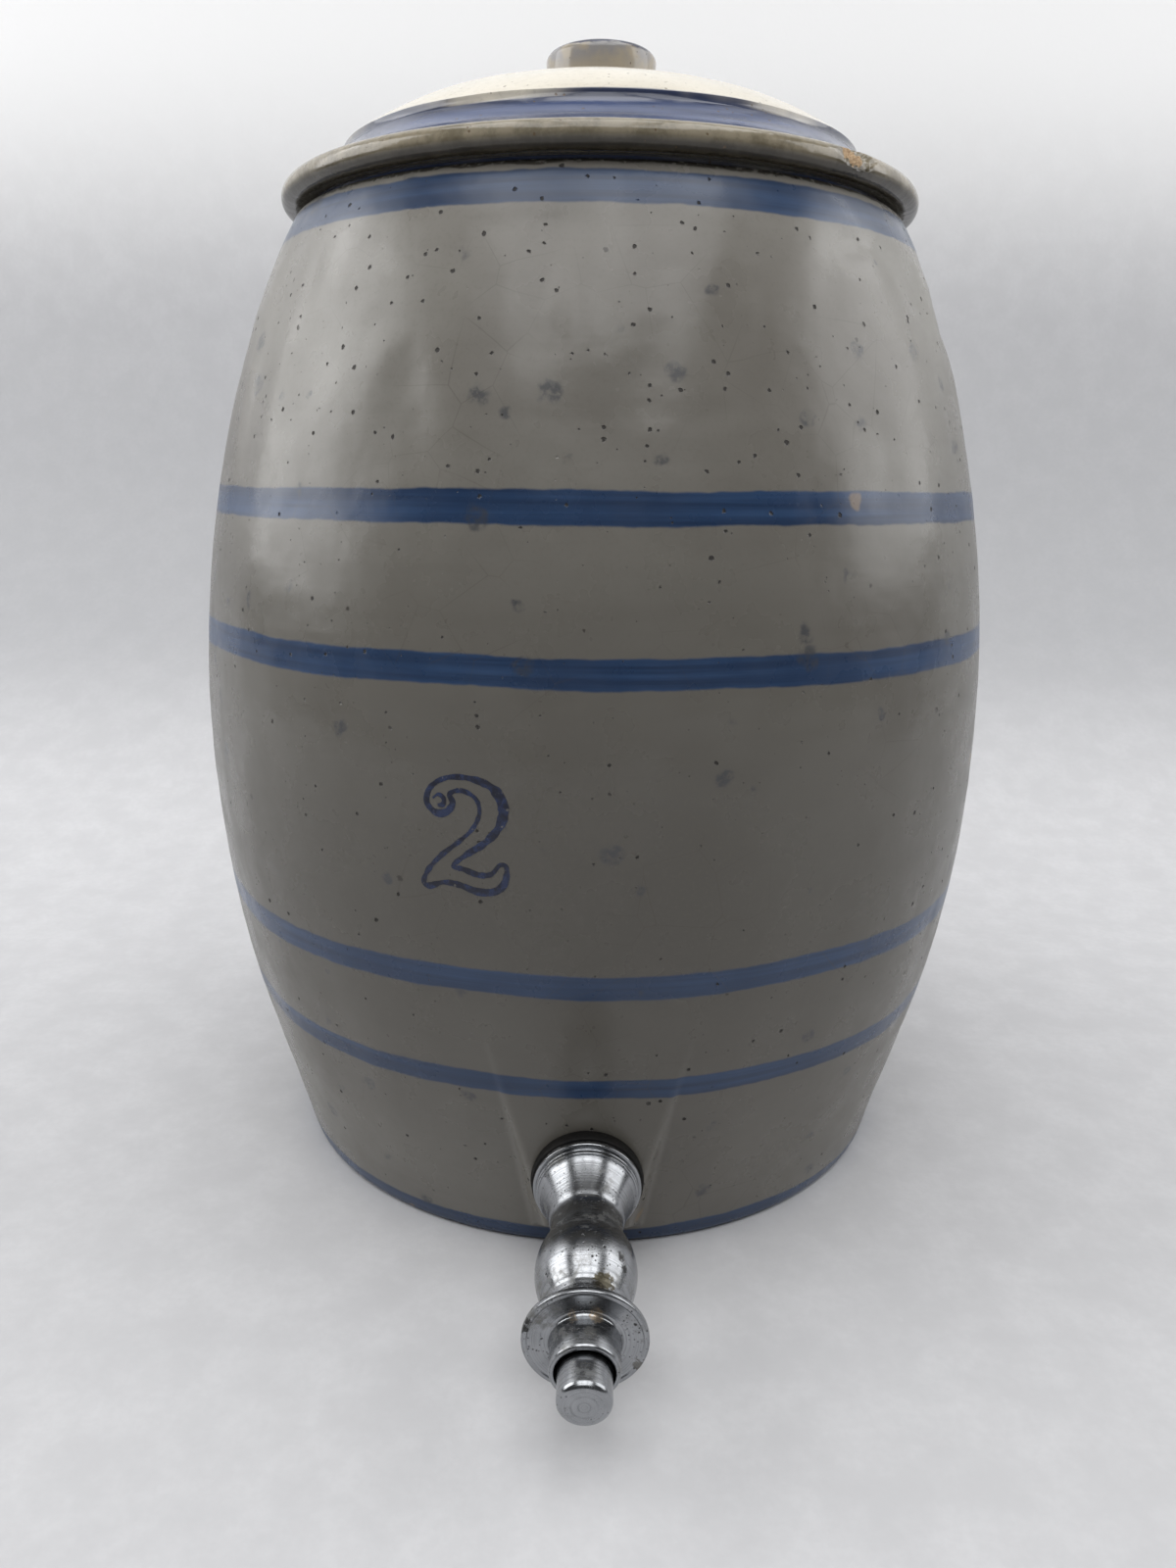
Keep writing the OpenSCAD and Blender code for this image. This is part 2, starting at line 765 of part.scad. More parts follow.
module bonnet_section() {
    // Roundings of the flange's edge, the collar's root and the collar's front
    edge = 0.5;
    root = 1;
    lip = 0.7;
    // Bevel behind the flange, and width of the rim round its dished face
    flare = 1.2;
    rim = 1.2;
    collar_r = collar_d / 2;
    flange_r = flange_d / 2;
    difference() {
        union() {
            translate([0, bonnet_u - bonnet_spigot - bonnet_gasket_t])
                square([chamber_d / 2 - fit, bonnet_spigot + bonnet_gasket_t + over]);
            polygon([[0, bonnet_u], [bonnet_d / 2, bonnet_u], [bonnet_d / 2, flange_u - flare],
                [bonnet_d / 2 + flare, flange_u], [0, flange_u]]);
            translate([0, flange_u])
                square([flange_r, flange_t]);
            translate([0, collar_u - dish])
                square([collar_r, collar_h + dish]);
        }
        // Dished face with a filleted root round the collar
        difference() {
            translate([collar_r, collar_u - dish])
                square([flange_r - rim - collar_r, dish + over]);
            translate([collar_r, collar_u - dish])
                corner([root, root], root, 180, 270);
        }
        corner([flange_r - edge, collar_u - edge], edge, 0, 90);
        corner([flange_r - edge, flange_u + edge], edge, -90, 0);
        corner([collar_r - lip, collar_end - lip], lip, 0, 90);
        // Button bore, stem hole and stuffing box
        translate([-over, floor_u])
            square([collar_bore / 2 + over, collar_end - floor_u + over]);
        translate([-over, box_end - over])
            square([stem_hole / 2 + over, bonnet_floor + 2 * over]);
        translate([-over, 0])
            square([box_bore / 2 + over, box_end]);
    }
}

module bonnet() {
    color("#b8bcc0")
        on_tap()
            rotate_extrude()
                bonnet_section();
}

module stem_packing() {
    color("#8f8468")
        on_tap()
            tube(box_bore - 2 * fit, stem_hole, packing_u, box_end);
}

// The gland screws into the stuffing box; two slots take the key.
module packing_gland() {
    slot_w = 1.2;
    slot_depth = 1;
    color("#b08d4c")
        on_tap()
            difference() {
                tube(box_bore - 2 * fit, stem_hole, gland_u, packing_u);
                translate([-box_bore, -slot_w / 2, gland_u - over])
                    cube([2 * box_bore, slot_w, slot_depth + over]);
            }
}

// ---- Button and spring ----

module spring_washer() {
    // Play round the washer and round the stem
    outer_play = 1;
    inner_play = 0.6;
    color("#b08d4c")
        on_tap()
            tube(collar_bore - outer_play, stem_hole + inner_play, floor_u, spring_u);
}

// A round wire wound into an open coil whose ends lie on its two seats
module return_spring() {
    sides = 6;
    steps = 18;
    rings = coils * steps;
    z0 = spring_u + wire_d / 2 + fit;
    z1 = button_in - wire_d / 2 - fit;
    points = [for (i = [0:rings], k = [0:sides - 1])
        let (turn = 360 * i / steps, side = 360 * k / sides,
            r = coil_d / 2 + wire_d / 2 * cos(side))
        [r * cos(turn), r * sin(turn), z0 + (z1 - z0) * i / rings + wire_d / 2 * sin(side)]];
    skin = [for (i = [0:rings - 1], k = [0:sides - 1])
        let (a = i * sides + k, b = i * sides + (k + 1) % sides)
        each [[a, a + sides, b], [b, a + sides, b + sides]]];
    ends = [for (k = [1:sides - 2])
        each [[0, k, k + 1], [rings * sides, rings * sides + k + 1, rings * sides + k]]];
    color("#9aa0a4")
        on_tap()
            polyhedron(points = points, faces = concat(skin, ends));
}

module button_section() {
    r = button_d / 2;
    difference() {
        translate([0, button_rear])
            square([r, button_end - button_rear]);
        corner([r - button_round, button_end - button_round], button_round, 0, 90);
        // Hollow for the spring round the boss, and the boss's thread
        translate([-over, button_rear - over])
            square([r - button_skirt + over, stem_step - button_rear + over]);
        translate([button_boss_d / 2, button_rear])
            square([r - button_skirt - button_boss_d / 2, button_in - button_rear]);
        translate([-over, button_rear])
            square([thread_d / 2 + fit + over, button_in - button_rear + stem_grip + fit]);
    }
}

module push_button() {
    color("#c3c7ca")
        on_tap()
            rotate_extrude()
                button_section();
}

crock();
lid();
outer_gasket();
tap_body();
spout();
inner_gasket();
shank_washer();
shank_nut();
valve_seat();
bonnet();
bonnet_gasket();
stem_packing();
packing_gland();
spring_washer();
return_spring();
push_button();
valve_stem();
disc_plate();
seat_washer();
disc_nut();
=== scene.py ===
"""Looks of a banded stoneware water cooler: glazed crock, lift-off lid and plated push-button tap."""

import math

import bmesh
import bpy
from mathutils import Matrix, Vector, noise


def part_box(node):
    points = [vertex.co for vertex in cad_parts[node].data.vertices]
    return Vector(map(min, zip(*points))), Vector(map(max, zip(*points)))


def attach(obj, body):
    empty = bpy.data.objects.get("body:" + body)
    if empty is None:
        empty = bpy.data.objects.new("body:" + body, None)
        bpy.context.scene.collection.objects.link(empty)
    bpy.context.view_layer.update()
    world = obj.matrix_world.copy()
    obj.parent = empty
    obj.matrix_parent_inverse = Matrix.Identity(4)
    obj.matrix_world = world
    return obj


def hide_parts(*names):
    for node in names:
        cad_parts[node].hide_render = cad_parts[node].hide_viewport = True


bl_info = {
    "name": "Stoneware water cooler",
    "version": (1, 0, 0),
    "blender": (4, 5, 0),
    "location": "View3D > Sidebar > Cooler",
    "description": "Dresses a banded stoneware water cooler with its lid and push-button tap",
    "category": "Add Mesh",
}

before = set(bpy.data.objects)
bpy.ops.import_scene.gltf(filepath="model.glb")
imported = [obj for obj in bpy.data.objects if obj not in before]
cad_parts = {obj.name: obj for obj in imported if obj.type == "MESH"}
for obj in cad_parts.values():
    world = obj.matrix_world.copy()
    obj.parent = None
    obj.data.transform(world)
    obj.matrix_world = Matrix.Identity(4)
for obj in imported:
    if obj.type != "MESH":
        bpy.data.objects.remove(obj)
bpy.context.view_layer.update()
MM = 0.001

# ---- Sizes, in millimetres, that the frame gives ----

LID_LOW, LID_HIGH = (Vector(corner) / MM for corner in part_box("lid"))
RIM_Z = (Vector(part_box("crock")[1]) / MM).z
LID_R = LID_HIGH.x

# The tap's axis meets the leaning pad at this distance and height, and points down by this angle.
PAD_FACE, TAP_Z, TAP_TILT = 105.64, 28.6, math.radians(5)
# Turned parts lie on the tap's axis, and their profiles give the distance from the pad's face.
TAP = (
    Matrix.Translation((0, -PAD_FACE * MM, TAP_Z * MM))
    @ Matrix.Rotation(TAP_TILT, 4, "X")
    @ Matrix.Rotation(math.pi / 2, 4, "X")
)
# The spout's profile gives the distance down from the tap's axis, in the middle of the bulb.
SPOUT_U = 34.5
DOWN = TAP @ Matrix.Translation((0, 0, SPOUT_U * MM)) @ Matrix.Rotation(math.pi / 2, 4, "X")


# ---- Settings that a user would change ----


def colour(name, description, value):
    """A colour property; its default is written as sRGB hex."""
    look = {"subtype": "COLOR", "size": 3, "min": 0, "max": 1, "default": linear(value)}
    return bpy.props.FloatVectorProperty(name=name, description=description, **look)


def length(name, description, value):
    """A length property; its default is written in millimetres."""
    size = {"subtype": "DISTANCE", "unit": "LENGTH", "default": value * MM, "precision": 5}
    return bpy.props.FloatProperty(name=name, description=description, **size)


def linear(value):
    """An sRGB hex colour as three linear values."""
    parts = [int(value[i : i + 2], 16) / 255 for i in (1, 3, 5)]
    return tuple(p / 12.92 if p <= 0.04045 else ((p + 0.055) / 1.055) ** 2.4 for p in parts)


class CoolerCrockSettings(bpy.types.PropertyGroup):
    glaze: colour("Glaze", "Grey of the clear glaze over the clay", "#838079")
    glaze_shade: colour("Glaze shade", "Grey where the glaze lies thin", "#736F68")
    band: colour("Bands", "Cobalt of the painted bands", "#2B466A")
    band_deep: colour("Band strokes", "Cobalt where the brush left more colour", "#182F4E")
    clay: colour("Clay", "Fired clay where the glaze is missing", "#8C7658")
    unevenness: length("Unevenness", "Depth of the hand-formed wall's hollows", 1.0)
    pit_size: length("Pits", "Radius of the largest pinholes in the glaze", 0.58)


class CoolerLidSettings(bpy.types.PropertyGroup):
    glaze: colour("Glaze", "Cream of the lid's glaze", "#E6DFCE")
    cove: colour("Cove", "Cobalt of the band in the cove", "#3A4C77")
    chip_depth: length("Chip", "Depth of the chip in the rolled edge", 1.3)


class CoolerTapSettings(bpy.types.PropertyGroup):
    plate: colour("Plating", "Worn nickel and chrome plate", "#A2A4A7")
    tarnish: colour("Tarnish", "Green-brown film where water dries", "#453D22")
    brass: colour("Brass", "Bare brass of the inner fittings", "#B8924A")
    rubber: colour("Rubber", "Black rubber of the gaskets", "#0B0A0A")
    turning: length("Turning lines", "Spacing of the lathe's marks", 0.42)


class CoolerStageSettings(bpy.types.PropertyGroup):
    floor: colour("Floor", "Pale floor and backdrop", "#C2C2C4")
    overhead: bpy.props.FloatProperty(
        name="Overhead", description="Power of each overhead panel", default=7.0, unit="POWER"
    )
    fill: bpy.props.FloatProperty(
        name="Fill", description="Power of the left fill", default=8.5, unit="POWER"
    )
    lens: bpy.props.FloatProperty(
        name="Lens", description="Focal length for a 36 mm frame", default=26.508, unit="CAMERA"
    )


def settings(part):
    """The settings of one part, as the user left them."""
    return getattr(bpy.context.scene, "cooler_" + part)


# ---- Shapes ----


def arc(centre, radius, start, end, steps):
    """Points along an arc in the profile's plane, between two directions in degrees."""
    turns = (math.radians(start + (end - start) * i / steps) for i in range(steps + 1))
    return [(centre[0] + radius * math.cos(t), centre[1] + radius * math.sin(t)) for t in turns]


def rounded(corners, steps=4):
    """A profile through corners (x, y) or (x, y, radius), whose given radii are rounded off."""
    points = []
    for i, corner in enumerate(corners):
        here = Vector(corner[:2])
        radius = corner[2] if len(corner) > 2 else 0
        if not radius or i in (0, len(corners) - 1):
            points.append(tuple(here))
            continue
        back = (Vector(corners[i - 1][:2]) - here).normalized()
        on = (Vector(corners[i + 1][:2]) - here).normalized()
        half = back.angle(on) / 2
        centre = here + (back + on).normalized() * radius / math.sin(half)
        first = here + back * radius / math.tan(half) - centre
        last = here + on * radius / math.tan(half) - centre
        sweep = first.angle_signed(last)
        for k in range(steps + 1):
            spoke = first.copy()
            spoke.rotate(Matrix.Rotation(-sweep * k / steps, 2))
            points.append(tuple(centre + spoke))
    return points


def spin(profile, steps, closed=False, matrix=None):
    """A mesh turned round the local Z axis from a profile of (radius, height) in millimetres."""
    bm = bmesh.new()
    verts = [bm.verts.new((r * MM, 0, h * MM)) for r, h in profile]
    pairs = list(zip(verts, verts[1:]))
    if closed:
        pairs.append((verts[-1], verts[0]))
    edges = [bm.edges.new(pair) for pair in pairs]
    turn = {"cent": (0, 0, 0), "axis": (0, 0, 1), "angle": 2 * math.pi, "steps": steps}
    bmesh.ops.spin(bm, geom=verts + edges, use_merge=True, **turn)
    bmesh.ops.remove_doubles(bm, verts=bm.verts, dist=1e-6)
    bmesh.ops.recalc_face_normals(bm, faces=bm.faces)
    if matrix:
        bmesh.ops.transform(bm, matrix=matrix, verts=bm.verts)
    return bm


def cut_away(bm, cutter):
    """A closed mesh with a closed cutter's space taken out of it; both are used up."""
    pair = []
    for shape in (bm, cutter):
        mesh = bpy.data.meshes.new("scratch")
        shape.to_mesh(mesh)
        shape.free()
        pair.append(bpy.data.objects.new("scratch", mesh))
        bpy.context.scene.collection.objects.link(pair[-1])
    cut = pair[0].modifiers.new("Hole", "BOOLEAN")
    cut.operation, cut.solver, cut.object = "DIFFERENCE", "EXACT", pair[1]
    result = bmesh.new()
    result.from_mesh(pair[0].evaluated_get(bpy.context.evaluated_depsgraph_get()).data)
    for scratch in pair:
        bpy.data.meshes.remove(scratch.data)
    return result


def finish_piece(name, bm, material, sharp=35, body=None, stands_for=()):
    """Turns a bmesh into a shown, smooth-shaded object, hangs it on its body's empty, and hides the parts it
    stands for.
    """
    mesh = bpy.data.meshes.new(name)
    bm.to_mesh(mesh)
    bm.free()
    mesh.shade_smooth()
    mesh.set_sharp_from_angle(angle=math.radians(sharp))
    obj = bpy.data.objects.new(name, mesh)
    bpy.context.scene.collection.objects.link(obj)
    obj.data.materials.append(material)
    if body:
        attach(obj, body)
    if stands_for:
        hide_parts(*stands_for)
    return obj


def smooth_step(low, high, value):
    """A share that rises smoothly from 0 to 1 as the value goes from low to high."""
    t = min(1, max(0, (value - low) / (high - low)))
    return t * t * (3 - 2 * t)


def smooth_max(a, b, width):
    """The larger of two heights, with a soft fillet of that width where they cross."""
    t = max(0, width - abs(a - b)) / width
    return max(a, b) + t * t * width / 4


# ---- Materials: colours are sRGB hex, and patterns have real sizes in millimetres ----

# Settings that many nodes share
SOFT = {"interpolation_type": "SMOOTHSTEP"}
COLOURS = {"data_type": "RGBA"}


def feed(tree, target, inputs):
    """Sets a node's inputs, by name or number, to constants, to sockets or to nodes' first outputs."""
    for key, value in inputs.items():
        socket = target.inputs[key]
        if isinstance(value, bpy.types.NodeSocket):
            tree.links.new(value, socket)
        elif isinstance(value, bpy.types.Node):
            tree.links.new(value.outputs[0], socket)
        elif socket.type == "RGBA":
            socket.default_value = (*value[:3], 1)
        else:
            socket.default_value = value


def node(tree, kind, inputs=None, **values):
    """Adds a shader node with its settings and links."""
    made = tree.nodes.new("ShaderNode" + kind)
    for key, value in values.items():
        setattr(made, key, value)
    feed(tree, made, inputs or {})
    return made


def new_material(name):
    """A material with one shader, the tree to add nodes to, and the place on the object."""
    material = bpy.data.materials.new(name)
    material.use_nodes = True
    tree = material.node_tree
    return material, tree, tree.nodes["Principled BSDF"], node(tree, "TexCoord").outputs["Object"]


def grain(place, size, detail, rough=0.5):
    """A noise texture's inputs, for features about that many millimetres across."""
    return {"Vector": place, "Scale": 1 / (size * MM), "Detail": detail, "Roughness": rough}


def overlap(tree, *masks):
    """Where all the masks overlap; a plain number among them is a share of the rest."""
    through = masks[0]
    for mask in masks[1:]:
        through = node(tree, "Math", {0: through, 1: mask}, operation="MULTIPLY")
    return through


def coat(tree, tone, colour, *masks):
    """A tone with a colour laid over it, where all the masks overlap."""
    return node(tree, "Mix", {0: overlap(tree, *masks), 6: tone, 7: colour}, **COLOURS).outputs[2]


def raised(tree, value, *layers):
    """A value raised by each layer's mask times its share, in turn."""
    for mask, share in layers:
        value = node(tree, "Math", {0: mask, 1: share, 2: value}, operation="MULTIPLY_ADD")
    return value


def mottle(tree, place, size, detail, rough, low, high, faint=0.0, full=1.0):
    """Soft patches of that size, cut out of the noise between low and high, from faint to full."""
    patches = node(tree, "TexNoise", grain(place, size, detail, rough))
    return node(tree, "MapRange", {0: patches, 1: low, 2: high, 3: faint, 4: full}, **SOFT)


def wander(tree, place, size, detail, reach, rough=0.5):
    """A value that wanders by that reach either way, over stretches of that size."""
    drift = node(tree, "TexNoise", grain(place, size, detail, rough))
    return node(tree, "MapRange", {0: drift, 1: 0.3, 2: 0.7, 3: -reach * MM, 4: reach * MM})


def between(tree, value, rise, fall):
    """A mask that rises over one range of a value, in millimetres, and falls over the other."""
    up = node(tree, "MapRange", {0: value, 1: rise[0] * MM, 2: rise[1] * MM}, **SOFT)
    down = node(tree, "MapRange", {0: value, 1: fall[0] * MM, 2: fall[1] * MM, 3: 1.0, 4: 0.0}, **SOFT)
    return overlap(tree, up, down)


def spots(tree, place, cell, low, high, seed, jitter):
    """Round spots, one in each cell of that size, with radii between low and high; and each one's lot."""
    shifted = node(tree, "VectorMath", {0: place, 1: (seed, seed * 0.7, seed * 1.3)}, operation="ADD")
    wobble = node(tree, "TexNoise", grain(shifted, (low + high) * 0.9, 1.0)).outputs["Color"]
    spread = node(tree, "VectorMath", {0: wobble, 1: (0.5, 0.5, 0.5)}, operation="SUBTRACT")
    step = node(tree, "VectorMath", {0: spread, "Scale": (low + high) * jitter * MM}, operation="SCALE")
    moved = node(tree, "VectorMath", {0: shifted, 1: step}, operation="ADD")
    cells = node(tree, "TexVoronoi", {"Vector": moved, "Scale": 1 / (cell * MM), "Randomness": 1.0})
    lot = node(tree, "SeparateColor", {"Color": cells.outputs["Color"]})
    radius = node(tree, "MapRange", {0: lot, 3: low / cell, 4: high / cell})
    ratio = node(tree, "Math", {0: cells, 1: radius}, operation="DIVIDE")
    return node(tree, "MapRange", {0: ratio, 1: 0.7, 2: 1.15, 3: 1.0, 4: 0.0}, **SOFT), lot


def bumps(tree, shader, *layers):
    """Chains height layers (mask, depth in millimetres, strength) into the shader's normal."""
    normal = None
    for height, depth, strength in layers:
        inputs = {"Height": height, "Distance": depth * MM, "Strength": strength}
        if normal:
            inputs["Normal"] = normal
        normal = node(tree, "Bump", inputs)
    feed(tree, shader, {"Normal": normal})


def plain_material(name, low, high, size, rough, metallic, depth, fibres=(1, 1, 1)):
    """A surface mottled between two colours, with a grain that can run along one axis."""
    material, tree, shader, place = new_material(name)
    stretched = node(tree, "VectorMath", {0: place, 1: fibres}, operation="MULTIPLY")
    coarse = mottle(tree, place, size * 6, 4, 0.6, 0.32, 0.7)
    fine = mottle(tree, stretched, size, 4, 0.65, 0.35, 0.68)
    dust, _ = spots(tree, place, size * 4, size * 0.1, size * 0.4, 0.43, 0.8)
    tone = coat(tree, low, high, coarse)
    tone = coat(tree, tone, low, fine, 0.4)
    tone = coat(tree, tone, high, dust, 0.35)
    dull = node(tree, "MapRange", {0: fine, 3: rough, 4: rough + 0.16})
    feed(tree, shader, {"Base Color": tone, "Roughness": dull, "Metallic": metallic})
    bumps(tree, shader, (fine, depth, 0.6), (coarse, depth * 2, 0.3))
    return material


# ---- Crock ----

FOOT_R, HEEL, BELLY, SHOULDER = 94.5, (105.5, 40), (118.5, 132), (103, 235)
WALL, FLOOR_Z, RIM_ROUND, MOUTH_ROUND = 10, 11, 4, 2.5
# Width of the ring that the foot stands on, the sunk middle's depth, the roundings of foot and floor, and
# how much thicker than the real wall the shown one is
FOOT_RING, FOOT_SINK, FOOT_ROUND, FLOOR_ROUND, WALL_SPARE = 13, 2, 3, 8, 0.1
# The tap's hole, and how far its cutter reaches behind and before the pad's face
TAP_HOLE_R, HOLE_BACK, HOLE_FRONT = 9.5, -30, 6
# The pad's half width and its distance from the tap's axis, at its foot and where it is widest
PAD_LOW, PAD_HIGH, PAD_ROUND = (12.0, -17.9), (21.9, 20.9), 3.0
# The pad and the hand-pressed hollows lie between these heights.
HOLLOWS_FROM, HOLLOWS_TO = 3.5, RIM_Z - 8
# The pad's edge falls back by this slope, and flows into the wall over this width.
PAD_FALL, PAD_BLEND = 1.6, 1.8
# Heights of the painted bands, and half the width over which a brushed edge fades
BANDS = ((-4, 5.6), (53.1, 58.9), (83.1, 89.7), (158.7, 165.8), (194.2, 201.6), (263.2, 270.7))
BAND_EDGE = 0.35
# Pinholes are scarce below the first height and dense above the second. Above the last the rim is worn, and
# painted dark as shade under the lid.
PITS_SCARCE, PITS_DENSE, RIM_WORN_AND_SHADED = 155, 225, RIM_Z - 1.4
GLAZE_IOR = 1.52


def upright_curve(widest, other):
    """Centre and radius of the arc that stands upright at its widest point and passes another."""
    across, up = widest[0] - other[0], widest[1] - other[1]
    radius = (across**2 + up**2) / (2 * across)
    return Vector((widest[0] - radius, widest[1])), radius


LOW_C, LOW_R = upright_curve(BELLY, HEEL)
HIGH_C, HIGH_R = upright_curve(BELLY, SHOULDER)
SHOULDER_C, SHOULDER_R = Vector((-69.03, 182.02)), 180


def crock_radius(height):
    """Radius of the outer wall at a height, in millimetres."""
    if height < HEEL[1]:
        return FOOT_R + (HEEL[0] - FOOT_R) * height / HEEL[1]
    if height < BELLY[1]:
        return LOW_C.x + math.sqrt(LOW_R**2 - (height - LOW_C.y) ** 2)
    if height < SHOULDER[1]:
        return HIGH_C.x + math.sqrt(HIGH_R**2 - (height - HIGH_C.y) ** 2)
    return SHOULDER_C.x + math.sqrt(SHOULDER_R**2 - (height - SHOULDER_C.y) ** 2)


def crock_profile():
    """The crock's section from the middle of its foot, round the rim, to the middle of its floor."""
    rim_y = RIM_Z - RIM_ROUND
    rim_x = SHOULDER_C.x + math.sqrt((SHOULDER_R - RIM_ROUND) ** 2 - (rim_y - SHOULDER_C.y) ** 2)
    mouth_y = RIM_Z - MOUTH_ROUND
    mouth_reach = SHOULDER_R - WALL + MOUTH_ROUND
    mouth_x = SHOULDER_C.x + math.sqrt(mouth_reach**2 - (mouth_y - SHOULDER_C.y) ** 2)
    turn = math.degrees(math.atan2(rim_y - SHOULDER_C.y, rim_x - SHOULDER_C.x))
    inner_turn = math.degrees(math.atan2(mouth_y - SHOULDER_C.y, mouth_x - SHOULDER_C.x))
    top = SHOULDER_C.y + SHOULDER_R * math.sin(math.radians(turn))
    row_height, inner_rows = 2.2, 70
    steps = round((top - FOOT_ROUND) / row_height)
    side = [FOOT_ROUND + (top - FOOT_ROUND) * i / steps for i in range(steps + 1)]
    points = [(0, FOOT_SINK), (FOOT_R - FOOT_RING - 3, FOOT_SINK), (FOOT_R - FOOT_RING, 0), (FOOT_R - 9, 0)]
    points += arc((FOOT_R - 2.4, FOOT_ROUND), FOOT_ROUND, -90, -15.4, 5)
    points += [(crock_radius(z), z) for z in side[1:-1]]
    points += arc((rim_x, rim_y), RIM_ROUND, turn, 90, 8)
    points += arc((mouth_x, mouth_y), MOUTH_ROUND, 90, 180 + inner_turn, 6)
    low = FLOOR_Z + FLOOR_ROUND
    for i in range(1, inner_rows):
        z = mouth_y - 4 + (low - mouth_y + 4) * i / inner_rows
        points.append((crock_radius(z) - WALL - WALL_SPARE, z))
    corner = crock_radius(low) - WALL - WALL_SPARE
    points += arc((corner - FLOOR_ROUND, low), FLOOR_ROUND, 0, -90, 5)[1:]
    points.append((0, FLOOR_Z))
    return points


def pad_depth(x, z):
    """Distance of the pad's skin from the crock's axis, at a place seen from the front."""
    slope = (PAD_HIGH[0] - PAD_LOW[0]) / (PAD_HIGH[1] - PAD_LOW[1])
    up = (z - TAP_Z) / math.cos(TAP_TILT)
    face = PAD_FACE + (z - TAP_Z) * math.tan(TAP_TILT)
    outside = max(abs(x) - PAD_LOW[0] - slope * (up - PAD_LOW[1]), PAD_LOW[1] - up)
    if outside <= -PAD_ROUND:
        return face
    if outside < -0.35 * PAD_ROUND:
        return face - PAD_ROUND + math.sqrt(PAD_ROUND**2 - (outside + PAD_ROUND) ** 2)
    edge = face - PAD_ROUND + math.sqrt(PAD_ROUND**2 - (0.65 * PAD_ROUND) ** 2)
    return edge - PAD_FALL * (outside + 0.35 * PAD_ROUND)


def pressed_radius(x, y, z, depth):
    """Radius of the wall where the potter's hands pressed shallow hollows into it, in millimetres."""
    wide = noise.noise(Vector((x, y, z * 0.42)) / 34)
    tall = noise.noise(Vector((x, y, z * 0.3)) / 17)
    press = 0.6 * smooth_step(-0.15, 0.55, wide)
    press += 1.3 * smooth_step(-0.05, 0.55, tall) * smooth_step(170, 230, z)
    press += 0.12 * (noise.noise(Vector((x, y, z * 2)) / 12) + 1)
    press *= smooth_step(3, 14, z) * (1 - smooth_step(RIM_Z - 16, RIM_Z - 8, z))
    flat = 1 - smooth_step(30, 52, math.hypot(x, z - 34)) if y < 0 else 0
    return crock_radius(z) - press * (1 - flat) * depth / MM


def shape_wall(bm, depth):
    """Lays the spun outer wall over the pad and presses the hollows into it."""
    for vert in bm.verts:
        x, y, z = vert.co / MM
        if not HOLLOWS_FROM < z < HOLLOWS_TO or math.hypot(x, y) < crock_radius(z) - 4:
            continue
        angle = math.atan2(y, x)
        x, y = crock_radius(z) * math.cos(angle), crock_radius(z) * math.sin(angle)
        radius = pressed_radius(x, y, z, depth)
        x, y = radius * math.cos(angle), radius * math.sin(angle)
        if y < -60 and abs(x) < 46 and z < 72:
            y = -smooth_max(-y, pad_depth(x, z), PAD_BLEND)
        vert.co = Vector((x, y, z)) * MM


